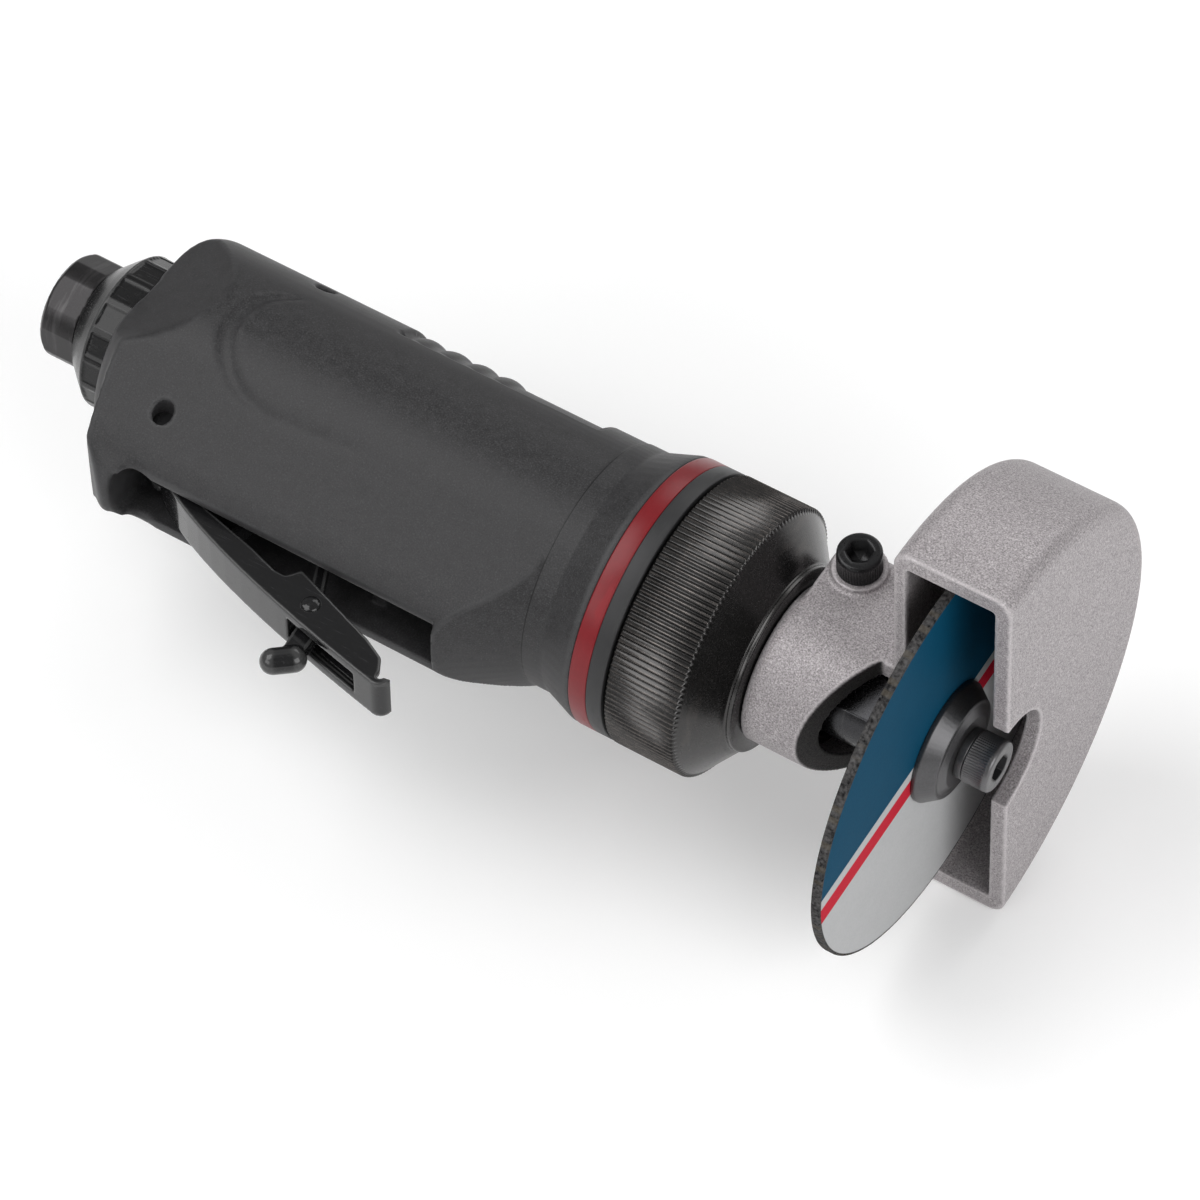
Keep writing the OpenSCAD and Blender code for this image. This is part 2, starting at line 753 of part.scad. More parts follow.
module inlet_o_ring() color("black") intersection() {
    x_ring(neck_end_x + thread_l / 2, thread_r, o_ring_r);
    x_cylinder(neck_end_x, neck_end_x + thread_l, thread_r + seat_gap - press_gap);
}

module exhaust_ring() color("black") {
    tail_x = recess_x - body_gap;
    difference() {
        x_turned([[neck_r + run_gap, exhaust_back_x], [exhaust_lip_r, exhaust_back_x],
            [exhaust_mid_r, exhaust_back_x + exhaust_mid_share * exhaust_nose_l], [exhaust_r, exhaust_shoulder_x],
            [exhaust_r, tail_x], [exhaust_r - exhaust_wall, tail_x],
            [exhaust_r - exhaust_wall, exhaust_cup_x],
            [exhaust_lip_r, exhaust_back_x + exhaust_web],
            [neck_r + run_gap, exhaust_back_x + exhaust_web]]);
        for (i = [0:exhaust_flats - 1])
            rotate([exhaust_flat_a(i), 0, 0])
                exhaust_flat(exhaust_shoulder_x + exhaust_flat_depth, tail_x - exhaust_wall);
        for (i = [exhaust_flats - exhaust_slots - 1:exhaust_flats - 2])
            rotate([exhaust_flat_a(i), 0, 0])
                translate([exhaust_shoulder_x + exhaust_wall, exhaust_r - 2 * exhaust_wall, -exhaust_slot_w / 2])
                    cube([exhaust_slot_w, 4 * exhaust_wall, exhaust_slot_w]);
    }
}

function exhaust_flat_a(i) = 360 * (i + exhaust_flat_share / 2) / exhaust_flats;

// One shallow flat between two ridges of the exhaust ring
module exhaust_flat(x0, x1) {
    w = 2 * exhaust_r * sin(180 / exhaust_flats) * exhaust_flat_share;
    translate([x0, exhaust_r - exhaust_flat_depth, -w / 2]) cube([x1 - x0, overrun, w]);
}

module exhaust_felt() color("tan") difference() {
    x_cylinder(exhaust_cup_x + body_gap, recess_x, exhaust_r - exhaust_wall - felt_gap);
    x_cylinder(exhaust_back_x, recess_x + overrun, neck_r + seat_gap);
}

module front_band(x0, w) {
    difference() {
        x_cylinder(x0, x0 + w, ring_r);
        x_cylinder(x0 - overrun, x0 + w + overrun, spigot_r + run_gap);
    }
}

module accent_ring() color("firebrick") front_band(front_x, accent_w);

module spacer_ring() color("black") front_band(front_x + accent_w, spacer_w);

// Straight knurl: a ring of ridges run along the tool axis
module knurl() {
    root_r = nut_r * (1 - knurl_depth_share);
    along_x(nut_x, knurl_x) polygon([for (i = [0:2 * knurl_count - 1])
        let (a = 180 * i / knurl_count, r = i % 2 == 0 ? nut_r : root_r) r * [cos(a), sin(a)]]);
}

// Nut: knurled skirt, a shoulder rounded into the cone, and the nose that the guard clamps on
module nose_nut() color([0.16, 0.16, 0.16]) difference() {
    union() {
        knurl();
        x_turned(concat(
            [[0, knurl_x - overrun], [shoulder_r, knurl_x - overrun]],
            arc([shoulder_r - nut_round_r, knurl_x], nut_round_r, 0, cone_a, helix_sides),
            [[cone_r, cone_x + cone_l], [cone_r, nut_front_x], [nose_r, nut_front_x],
                [nose_r, arm_x - nose_short], [0, arm_x - nose_short]]));
    }
    x_cylinder(nut_x - overrun, nut_face_x, spigot_r + seat_gap);
    x_cylinder(nut_x, arm_x + overrun, spindle_r + spindle_clear);
}

module motor_gasket() color("darkslategray") difference() {
    x_cylinder(chamber_x, rear_plate_x, chamber_r - plate_gap);
    x_cylinder(chamber_x - overrun, rear_plate_x + overrun, gasket_in_r);
}

module dowel_hole(x0, x1, r) {
    translate([0, dowel_ring_r, 0]) x_cylinder(x0, x1, r);
}

module rear_end_plate() color("silver") difference() {
    x_cylinder(rear_plate_x, liner_x, chamber_r - plate_gap);
    x_cylinder(rear_plate_x - overrun, rear_brg_x + rear_brg_w + run_gap, rear_brg_r + press_gap);
    x_cylinder(rear_plate_x, liner_x + overrun, stub_clear_r);
    dowel_hole(liner_x - dowel_in - seat_gap, liner_x + overrun, dowel_r + run_gap);
}

module cylinder_liner() color("silver") difference() {
    x_cylinder(liner_x, liner_end_x, chamber_r - plate_gap);
    translate([0, -liner_offset, 0]) x_cylinder(liner_x - overrun, liner_end_x + overrun, liner_bore_r);
    dowel_hole(liner_x - overrun, liner_end_x + overrun, dowel_r + run_gap);
    for (i = [1:port_count])
        translate([liner_x + liner_l * i / (port_count + 1) - port_w / 2, -port_h / 2, 0])
            cube([port_w, port_h, chamber_r + overrun]);
}

module front_end_plate() color("silver") difference() {
    x_cylinder(liner_end_x, nut_face_x, chamber_r - plate_gap);
    x_cylinder(front_brg_x - run_gap, nut_face_x + overrun, front_brg_r + press_gap);
    x_cylinder(liner_end_x - overrun, nut_face_x, shaft_clear_r);
    dowel_hole(liner_end_x - overrun, liner_end_x + dowel_in + seat_gap, dowel_r + run_gap);
}

module liner_dowel() color("gray") dowel_hole(liner_x - dowel_in, liner_end_x + dowel_in, dowel_r);

// Ball bearing parts, from its bore, outer radius and width
function pitch_r(bore_r, outer_r) = (bore_r + outer_r) / 2;
function ball_r(bore_r, outer_r) = ball_share * pitch_r(bore_r, outer_r);

module race_groove(x, w, bore_r, outer_r) {
    x_ring(x + w / 2, pitch_r(bore_r, outer_r), ball_r(bore_r, outer_r) + ball_gap);
}

module race_outer(x, w, bore_r, outer_r) {
    land = pitch_r(bore_r, outer_r) + shoulder_share * ball_r(bore_r, outer_r);
    difference() {
        x_cylinder(x, x + w, outer_r);
        x_cylinder(x - overrun, x + w + overrun, land);
        race_groove(x, w, bore_r, outer_r);
    }
}

module race_inner(x, w, bore_r, outer_r) {
    land = pitch_r(bore_r, outer_r) - shoulder_share * ball_r(bore_r, outer_r);
    difference() {
        x_cylinder(x, x + w, land);
        x_cylinder(x - overrun, x + w + overrun, bore_r);
        race_groove(x, w, bore_r, outer_r);
    }
}

module ball_places(bore_r, outer_r) {
    for (i = [0:ball_count - 1])
        rotate([360 * i / ball_count, 0, 0]) translate([0, pitch_r(bore_r, outer_r), 0]) children();
}

module ball_set(x, w, bore_r, outer_r) {
    ball_places(bore_r, outer_r) translate([x + w / 2, 0, 0]) sphere(ball_r(bore_r, outer_r));
}

module ball_cage(x, w, bore_r, outer_r) {
    half = cage_share * ball_r(bore_r, outer_r);
    cage_w = cage_w_share * w;
    difference() {
        x_cylinder(x + (w - cage_w) / 2, x + (w + cage_w) / 2, pitch_r(bore_r, outer_r) + half);
        x_cylinder(x, x + w, pitch_r(bore_r, outer_r) - half);
        ball_places(bore_r, outer_r)
            y_cylinder(x + w / 2, -2 * half, 2 * half, ball_r(bore_r, outer_r) + pocket_gap);
    }
}

module rear_bearing_outer() color("lightgray") race_outer(rear_brg_x, rear_brg_w, rear_brg_bore_r, rear_brg_r);

module rear_bearing_balls() color("white") ball_set(rear_brg_x, rear_brg_w, rear_brg_bore_r, rear_brg_r);

module rear_bearing_cage() color("goldenrod") ball_cage(rear_brg_x, rear_brg_w, rear_brg_bore_r, rear_brg_r);

module rear_bearing_inner() color("lightgray") race_inner(rear_brg_x, rear_brg_w, rear_brg_bore_r, rear_brg_r);

module front_bearing_outer() color("lightgray")
    race_outer(front_brg_x, front_brg_w, front_brg_bore_r, front_brg_r);

module front_bearing_balls() color("white") ball_set(front_brg_x, front_brg_w, front_brg_bore_r, front_brg_r);

module front_bearing_cage() color("goldenrod")
    ball_cage(front_brg_x, front_brg_w, front_brg_bore_r, front_brg_r);

module front_bearing_inner() color("lightgray")
    race_inner(front_brg_x, front_brg_w, front_brg_bore_r, front_brg_r);

module vane_places() {
    for (i = [0:vane_count - 1]) rotate([360 * i / vane_count, 0, 0]) children();
}

module rotor() color("gray") difference() {
    union() {
        x_cylinder(rotor_x, rotor_end_x, rotor_r);
        x_cylinder(rear_brg_x, rotor_x + overrun, rear_brg_bore_r - press_gap);
        x_cylinder(rotor_end_x - overrun, front_brg_x - plate_gap, shaft_collar_r);
        x_cylinder(rotor_end_x, nut_face_x + shaft_past_l, front_brg_bore_r - press_gap);
    }
    vane_places() translate([rotor_x - overrun, rotor_r - slot_depth, -vane_t / 2 - run_gap])
        cube([rotor_end_x - rotor_x + 2 * overrun, slot_depth + overrun, vane_t + 2 * run_gap]);
}

module rotor_vanes() color("sienna") vane_places() intersection() {
    translate([rotor_x, rotor_r - slot_depth + vane_gap, -vane_t / 2])
        cube([rotor_end_x - rotor_x, slot_depth, vane_t]);
    x_cylinder(rotor_x, rotor_end_x, rotor_r);
}

module spindle() color([0.2, 0.2, 0.21]) difference() {
    hub_x = nut_face_x;
    flats_x = flange_x - flats_back;
    union() {
        x_cylinder(hub_x, hub_x + spindle_hub_l + overrun, shaft_collar_r);
        difference() {
            x_cylinder(hub_x + spindle_hub_l, flange_x, spindle_r);
            rotate([flats_turn, 0, 0]) for (side = [0, 1]) mirror([0, 0, side])
                translate([flats_x, -spindle_r, spindle_flats / 2])
                    cube([flats_l, 2 * spindle_r, spindle_r]);
        }
        x_cylinder(flange_x - overrun, outer_flange_x - pilot_short, pilot_r);
    }
    x_cylinder(hub_x - overrun, hub_x + spindle_bore_l, front_brg_bore_r);
    x_cylinder(outer_flange_x - bolt_hole_l, outer_flange_x + overrun, bolt_r + run_gap);
}

module inner_flange() color([0.22, 0.22, 0.23]) difference() {
    x_cylinder(flange_x, disc_x, flange_r);
    x_cylinder(flange_x - overrun, disc_x + overrun, pilot_r + run_gap);
    x_cylinder(disc_x - flange_relief, disc_x + overrun, flange_relief_r);
}

module cutting_disc() color("teal") difference() {
    x_cylinder(disc_x, outer_flange_x, disc_r);
    x_cylinder(disc_x - overrun, outer_flange_x + overrun, pilot_r + run_gap);
}

module outer_flange() color([0.25, 0.25, 0.26]) difference() {
    x_turned([[0, outer_flange_x], [flange_r, outer_flange_x], [flange_r, outer_flange_x + flange_rim_t],
        [flange_face_r, washer_x - flange_relief], [flange_face_r - flange_relief, washer_x - flange_relief],
        [flange_relief_r, washer_x], [0, washer_x]]);
    x_cylinder(outer_flange_x - overrun, washer_x + overrun, bolt_r + seat_gap);
    x_cylinder(outer_flange_x - overrun, outer_flange_x + flange_relief, flange_relief_r);
}

module bolt_washer() color([0.3, 0.3, 0.31]) difference() {
    x_cylinder(washer_x, bolt_head_x, washer_r);
    x_cylinder(washer_x - overrun, bolt_head_x + overrun, bolt_r + seat_gap);
}

module disc_bolt() color([0.18, 0.18, 0.19]) difference() {
    union() {
        x_cylinder(bolt_head_x - bolt_l + overrun, bolt_head_x + overrun, bolt_r);
        x_turned([[0, bolt_head_x], [bolt_head_r, bolt_head_x], [bolt_head_r, bolt_end_x - inlet_chamfer / 2],
            [bolt_head_r - inlet_chamfer / 2, bolt_end_x], [0, bolt_end_x]]);
    }
    translate([bolt_end_x - socket_depth, 0, 0]) rotate([0, 90, 0])
        cylinder(h = socket_depth + overrun, r = socket_r, $fn = 6);
}

// Hood: half drum with two plates and a rim, rounded at its outer edges
module hood_shell() {
    x_sector(concat(
        [[0, hood_x]],
        arc([hood_r - hood_round_r, hood_x + hood_round_r], hood_round_r, -90, 0, helix_sides),
        arc([hood_r - hood_round_r, hood_front_x - hood_round_r], hood_round_r, 0, 90, helix_sides),
        [[0, hood_front_x], [0, hood_front_x - front_plate_t], [hood_inner_r, hood_front_x - front_plate_t],
            [hood_inner_r, hood_x + rear_plate_t], [0, hood_x + rear_plate_t]]), 90);
}

// Clamp lugs on the closed side of the collar, with the web that runs on to the hood
module clamp_lugs() {
    along_x(lug_x, hood_x + overrun) difference() {
        union() {
            translate([0, -lug_low]) square([lug_out - lug_round_r, lug_low + lug_top]);
            translate([0, lug_round_r - lug_low]) square([lug_out, lug_low + lug_top - 2 * lug_round_r]);
            translate([lug_out - lug_round_r, lug_top - lug_round_r]) circle(lug_round_r);
            translate([lug_out - lug_round_r, lug_round_r - lug_low]) circle(lug_round_r);
        }
        circle(clamp_bore_r);
    }
    translate([screw_x, screw_y, lug_top - overrun]) cylinder(h = boss_h + overrun, r = boss_r);
}

// Rounded corner between the clamp collar's end and the half collar
module arm_fillet() {
    intersection() {
        x_cylinder(arm_x - overrun, hood_x, clamp_r);
        translate([0, 0, -clamp_r]) linear_extrude(2 * clamp_r) difference() {
            translate([arm_x - overrun, -arm_fillet_r]) square([arm_fillet_r + overrun, arm_fillet_r + overrun]);
            translate([arm_x + arm_fillet_r, -arm_fillet_r]) circle(arm_fillet_r);
        }
    }
}

module guard() color("darkgray") rotate([guard_lean, 0, 0]) difference() {
    union() {
        translate([0, 0, hood_lift]) hood_shell();
        x_cylinder(clamp_x, arm_x, clamp_r);
        x_sector([[0, arm_x - overrun], [clamp_r, arm_x - overrun], [clamp_r, hood_x + overrun],
            [0, hood_x + overrun]], 90);
        clamp_lugs();
        arm_fillet();
    }
    x_cylinder(clamp_x - overrun, hood_x + rear_plate_t + overrun, clamp_bore_r);
    x_cylinder(hood_front_x - front_plate_t - overrun, hood_front_x + overrun, notch_r);
    translate([clamp_x - overrun, 0, slit_z]) cube([clamp_l + overrun, lug_out + overrun, slit_w]);
    translate([screw_x, screw_y, -lug_low - overrun])
        cylinder(h = lug_low + lug_top + boss_h + 2 * overrun, r = screw_r + run_gap);
}

module guard_screw() color([0.16, 0.16, 0.17]) rotate([guard_lean, 0, 0])
    translate([screw_x, screw_y, lug_top + boss_h]) difference() {
        union() {
            cylinder(h = screw_head_l, r = screw_head_r);
            translate([0, 0, screw_tip - lug_low - lug_top - boss_h])
                cylinder(h = lug_low + lug_top + boss_h - screw_tip + overrun, r = screw_r);
        }
        translate([0, 0, screw_head_l - screw_socket_depth])
            cylinder(h = screw_socket_depth + overrun, r = screw_socket_r, $fn = 6);
    }

// Lever's outer face: one smooth bend from the pivot to the front end, about the pivot
lever_front = [lever_l, -lever_drop];
function lever_point(t) =
    (1 - t) * (1 - t) * lever_start + 2 * t * (1 - t) * lever_bend + t * t * lever_front;
function lever_normal(t) =
    let (d = (1 - t) * (lever_bend - lever_start) + t * (lever_front - lever_bend)) [-d[1], d[0]] / norm(d);
function lever_line(lift) =
    [for (i = [0:lever_steps]) let (t = i / lever_steps) lever_point(t) + lift * lever_normal(t)];
function turned_back(points) = [for (i = [len(points) - 1:-1:0]) points[i]];

module lever_flange() {
    difference() {
        union() {
            polygon(concat(lever_line(0), turned_back(flange_top), [[0, 0]]));
            circle(ear_r);
        }
        circle(pivot_r + run_gap);
    }
}

// Rolled lip at the lever's front end
module lever_curl() {
    end_a = atan2(lever_normal(1)[1], lever_normal(1)[0]);
    centre = lever_front + curl_r * lever_normal(1);
    polygon(concat(arc(centre, curl_r, end_a + 180, end_a + 180 + curl_a, lever_steps),
        turned_back(arc(centre, curl_r - lever_t, end_a + 180, end_a + 180 + curl_a, lever_steps))));
}

module throttle_lever() color([0.1, 0.1, 0.1]) translate([pivot_x, -pivot_drop, 0]) difference() {
    union() {
        along_z(lever_w) polygon(concat(lever_line(0), turned_back(lever_line(lever_t))));
        along_z(lever_w) lever_curl();
        for (side = [0, 1]) mirror([0, 0, side])
            translate([0, 0, lever_w / 2 - lever_t]) linear_extrude(lever_t) lever_flange();
    }
    z_cylinder(latch_x - pivot_x, latch_y + pivot_drop, lever_w + 2 * overrun, latch_pin_r + run_gap);
    translate([slot_start, -lever_drop - lever_slot_drop / 2, -slot_w / 2])
        cube([slot_end - slot_start, lever_slot_drop + lever_drop / 2, slot_w]);
}

module lever_pin() color("gray") z_cylinder(pivot_x, -pivot_drop, pivot_pin_l, pivot_r);

module lock_latch() color([0.1, 0.1, 0.1]) translate([latch_x, latch_y, 0]) {
    difference() {
        union() {
            z_cylinder(0, 0, latch_w, latch_hub_r);
            rotate([0, 0, latch_arm_a]) translate([-latch_arm_t / 2, 0, -latch_w / 2])
                cube([latch_arm_t, latch_arm, latch_w]);
            along_z(latch_w) polygon([[-latch_hub_r / 2, 0], [latch_hub_r, 0],
                paddle_from + [paddle_r / 2, 0], paddle_from - [paddle_r, 0]]);
        }
        z_cylinder(0, 0, latch_w + 2 * overrun, latch_pin_r + run_gap);
    }
    hull() for (p = [paddle_from, paddle_to]) translate([p[0], p[1], 0]) sphere(paddle_r, $fn = 24);
}

module latch_pin() color("gray") translate([latch_x, latch_y, 0]) {
    z_cylinder(0, 0, lever_w + 2 * seat_gap, latch_pin_r);
    for (side = [0, 1]) mirror([0, 0, side]) translate([0, 0, lever_w / 2 + run_gap])
        rotate_extrude() polygon(concat([[0, 0], [latch_pin_head_r, 0]],
            [for (i = [1:helix_sides - 1]) let (a = 90 * i / helix_sides)
                [latch_pin_head_r * cos(a), latch_pin_head_l * sin(a)]], [[0, latch_pin_head_l]]));
}

module latch_spring() color("silver")
    translate([latch_x, latch_y, latch_w / 2 + seat_gap])
        helix(latch_spring_r, latch_wire_r, lever_w / 2 - lever_t - latch_w / 2 - 2 * seat_gap, latch_turns);

module valve_bush() color("peru") difference() {
    y_cylinder(valve_x, -channel_top, bush_l - channel_top, valve_r - run_gap);
    y_cylinder(valve_x, -channel_top - overrun, bush_l - channel_top + overrun, stem_r + run_gap);
}

// The stem's tip stands just off the lever's inner face
stem_tip_y = lookup(valve_ahead - stem_r, lever_line(lever_t)) + body_gap - pivot_drop;
valve_head_y = bush_l - channel_top + valve_ring_lift + 2 * valve_ring_wire_r + run_gap;
module valve_stem() color("gainsboro") {
    y_cylinder(valve_x, stem_tip_y, valve_head_y + valve_head_t, stem_r);
    y_cylinder(valve_x, valve_head_y, valve_head_y + valve_head_t, valve_head_r);
}

module valve_o_ring() color("black")
    translate([valve_x, bush_l - channel_top + valve_ring_lift + valve_ring_wire_r, 0]) rotate([-90, 0, 0])
        rotate_extrude() translate([valve_ring_r, 0]) circle(valve_ring_wire_r);

module valve_spring() color("silver")
    translate([valve_x, valve_head_y + valve_head_t + run_gap, 0]) rotate([-90, 0, 0])
        helix(valve_spring_r, valve_wire_r, valve_top - valve_head_y - valve_head_t - 2 * run_gap, valve_turns);

housing();
air_inlet();
inlet_screen();
inlet_o_ring();
exhaust_ring();
exhaust_felt();
accent_ring();
spacer_ring();
nose_nut();
motor_gasket();
rear_end_plate();
cylinder_liner();
front_end_plate();
liner_dowel();
rear_bearing_outer();
rear_bearing_balls();
rear_bearing_cage();
rear_bearing_inner();
front_bearing_outer();
front_bearing_balls();
front_bearing_cage();
front_bearing_inner();
rotor();
rotor_vanes();
spindle();
inner_flange();
cutting_disc();
outer_flange();
bolt_washer();
disc_bolt();
guard();
guard_screw();
throttle_lever();
lever_pin();
lock_latch();
latch_pin();
latch_spring();
valve_bush();
valve_stem();
valve_o_ring();
valve_spring();
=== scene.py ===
import json
import math

import bmesh
import bpy
import numpy as np
from mathutils import Matrix, Vector
from mathutils.bvhtree import BVHTree

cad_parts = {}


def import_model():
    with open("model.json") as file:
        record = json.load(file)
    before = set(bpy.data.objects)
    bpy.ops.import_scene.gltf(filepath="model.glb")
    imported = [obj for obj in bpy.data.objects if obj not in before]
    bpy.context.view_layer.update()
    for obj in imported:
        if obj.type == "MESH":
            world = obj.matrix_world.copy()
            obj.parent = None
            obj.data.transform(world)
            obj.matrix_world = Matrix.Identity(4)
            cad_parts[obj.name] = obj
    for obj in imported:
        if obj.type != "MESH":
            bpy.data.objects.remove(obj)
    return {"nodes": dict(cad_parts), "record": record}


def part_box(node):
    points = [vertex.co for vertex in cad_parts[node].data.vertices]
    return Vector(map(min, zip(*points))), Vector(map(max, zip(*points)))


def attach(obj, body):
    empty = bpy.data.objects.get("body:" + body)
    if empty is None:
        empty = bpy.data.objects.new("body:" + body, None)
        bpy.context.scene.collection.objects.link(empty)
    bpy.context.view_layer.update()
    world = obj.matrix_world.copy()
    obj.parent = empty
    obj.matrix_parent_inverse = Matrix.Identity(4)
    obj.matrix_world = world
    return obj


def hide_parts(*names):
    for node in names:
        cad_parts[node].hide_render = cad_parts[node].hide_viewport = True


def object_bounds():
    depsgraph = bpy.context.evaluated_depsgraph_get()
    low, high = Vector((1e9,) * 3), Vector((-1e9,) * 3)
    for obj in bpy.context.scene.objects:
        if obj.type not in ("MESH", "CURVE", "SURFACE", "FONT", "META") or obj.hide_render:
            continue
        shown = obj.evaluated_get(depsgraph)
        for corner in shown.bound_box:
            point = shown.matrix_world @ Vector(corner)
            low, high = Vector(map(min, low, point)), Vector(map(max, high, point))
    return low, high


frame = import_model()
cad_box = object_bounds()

MM = 0.001
nodes = frame["nodes"]
record = frame["record"]
node_body = {n: body for body, members in record["behaviour"]["bodies"].items() for n in members}
node_slot = {part["node"]: part["material_slot"] for part in record["subparts"]}
collection = bpy.context.scene.collection


# Shader building blocks

def group_tree(name, inputs, outputs):
    """An empty node group with float inputs (name: default) and float outputs."""
    tree = bpy.data.node_groups.new(name, "ShaderNodeTree")
    for label, default in inputs.items():
        socket = tree.interface.new_socket(label, in_out="INPUT", socket_type="NodeSocketFloat")
        socket.default_value = default
    for label in outputs:
        tree.interface.new_socket(label, in_out="OUTPUT", socket_type="NodeSocketFloat")
    given = tree.nodes.new("NodeGroupInput").outputs
    return tree, given, tree.nodes.new("NodeGroupOutput").inputs


def put(tree, kind, inputs=(), **settings):
    """A new node with its settings and inputs. An input is a value or another node's output."""
    node = tree.nodes.new("ShaderNode" + kind)
    for key, value in settings.items():
        setattr(node, key, value)
    for key, value in dict(inputs).items():
        if isinstance(value, bpy.types.NodeSocket):
            tree.links.new(value, node.inputs[key])
        else:
            node.inputs[key].default_value = value
    return node


def maths(tree, operation, a, b=0.0, clamp=False):
    return put(tree, "Math", {0: a, 1: b}, operation=operation, use_clamp=clamp).outputs[0]


def ramp(tree, value, low, high, to_low=0.0, to_high=1.0):
    """value carried from low..high to to_low..to_high, clamped."""
    return put(tree, "MapRange", {"Value": value, "From Min": low, "From Max": high,
                                  "To Min": to_low, "To Max": to_high}).outputs["Result"]


def place(tree):
    """Position in the part's frame, in metres, riding with the piece."""
    return put(tree, "TexCoord").outputs["Object"]


def split_place(tree, where):
    return put(tree, "SeparateXYZ", {"Vector": where}).outputs


def axis_distance(tree, split):
    """Distance from the tool axis of a position that is split into X, Y and Z."""
    squares = [maths(tree, "POWER", maths(tree, "ABSOLUTE", split[key]), 2.0) for key in "YZ"]
    return maths(tree, "SQRT", maths(tree, "ADD", *squares))


def noise(tree, where, scale, detail=2.0, rough=0.5):
    return put(tree, "TexNoise", {"Vector": where, "Scale": scale, "Detail": detail,
                                  "Roughness": rough}).outputs["Fac"]


FINE_SHARE, BROAD_SHARE = 0.75, 0.25
BROAD_SCALE = 0.13  # of the fine grain's scale


def fine_grain():
    """Even fine grain: a value around one half, and a height."""
    tree, given, out = group_tree("fine_grain", {"Scale": 2500.0, "Contrast": 1.0},
                                  ("Value", "Height"))
    where = place(tree)
    fine = noise(tree, where, given["Scale"], detail=3.0, rough=0.6)
    broad = noise(tree, where, maths(tree, "MULTIPLY", given["Scale"], BROAD_SCALE))
    mixed = maths(tree, "ADD", maths(tree, "MULTIPLY", fine, FINE_SHARE),
                  maths(tree, "MULTIPLY", broad, BROAD_SHARE))
    spread = maths(tree, "MULTIPLY", maths(tree, "SUBTRACT", mixed, 0.5), given["Contrast"])
    tree.links.new(maths(tree, "ADD", spread, 0.5, clamp=True), out["Value"])
    tree.links.new(fine, out["Height"])
    return tree


def rubbed_rim():
    """Bright wear on what stands far out from the tool axis, between two radii."""
    tree, given, out = group_tree(
        "rubbed_rim", {"From": 0.0, "To": 0.01, "Patch": 900.0, "Even": 0.0}, ("Mask",))
    where = place(tree)
    radius = axis_distance(tree, split_place(tree, where))
    span = maths(tree, "SUBTRACT", given["To"], given["From"])
    far = maths(tree, "DIVIDE", maths(tree, "SUBTRACT", radius, given["From"]), span, clamp=True)
    patches = noise(tree, where, given["Patch"], detail=4.0, rough=0.65)
    worn = maths(tree, "MAXIMUM", ramp(tree, patches, low=0.32, high=0.62), given["Even"])
    tree.links.new(maths(tree, "MULTIPLY", far, worn), out["Mask"])
    return tree


def hairlines():
    """Short fine scratches and rub marks, as a mask."""
    tree, given, out = group_tree(
        "hairlines", {"Scale": 300.0, "Stretch": 14.0, "Amount": 0.5}, ("Mask",))
    split = split_place(tree, place(tree))
    stretched = {key: maths(tree, "MULTIPLY", split[key], given["Stretch"]) for key in "YZ"}
    where = put(tree, "CombineXYZ", {"X": split["X"], **stretched}).outputs[0]
    marks = noise(tree, where, given["Scale"], detail=5.0, rough=0.7)
    lines = ramp(tree, marks, low=0.56, high=0.68)
    tree.links.new(maths(tree, "MULTIPLY", lines, given["Amount"]), out["Mask"])
    return tree


GRAIN, RIM, HAIR = fine_grain(), rubbed_rim(), hairlines()
MIX_FACTOR, MIX_A, MIX_B, MIX_RESULT = 0, 6, 7, 2  # sockets of a Mix node set to colours


def shade(colour, factor):
    return tuple(factor * c for c in colour)


class Finish:
    """A Principled material under construction."""

    def __init__(self, name, **constants):
        self.material = bpy.data.materials.new(name)
        self.material.use_nodes = True
        self.tree = self.material.node_tree
        self.shader = self.tree.nodes["Principled BSDF"]
        for key, value in constants.items():
            self.shader.inputs[key.replace("_", " ")].default_value = value

    def effect(self, group, **inputs):
        node = self.tree.nodes.new("ShaderNodeGroup")
        node.node_tree = group
        for key, value in inputs.items():
            node.inputs[key].default_value = value
        return node.outputs

    def attribute(self, name):
        return put(self.tree, "Attribute", attribute_name=name).outputs["Fac"]

    def blend(self, mask, a, b):
        """Colour a where the mask is 0 and b where it is 1. Each is a colour or an output."""
        mix = put(self.tree, "Mix", data_type="RGBA")
        for index, value in ((MIX_FACTOR, mask), (MIX_A, a), (MIX_B, b)):
            if isinstance(value, bpy.types.NodeSocket):
                self.tree.links.new(value, mix.inputs[index])
            else:
                mix.inputs[index].default_value = (*value, 1.0)
        return mix.outputs[MIX_RESULT]

    def mottle(self, mask, base, low, high):
        """The base colour, made darker or lighter by the mask."""
        return self.blend(mask, shade(base, low), shade(base, high))

    def feed(self, key, output):
        self.tree.links.new(output, self.shader.inputs[key])

    def grainy_roughness(self, value, smooth, rough):
        self.feed("Roughness", ramp(self.tree, value, low=0.2, high=0.8, to_low=smooth, to_high=rough))

    def bump(self, height, strength, depth):
        node = put(self.tree, "Bump", {"Strength": strength, "Distance": depth, "Height": height})
        self.feed("Normal", node.outputs["Normal"])


# Finishes of the tool

PARTING_X = 103.3 * MM


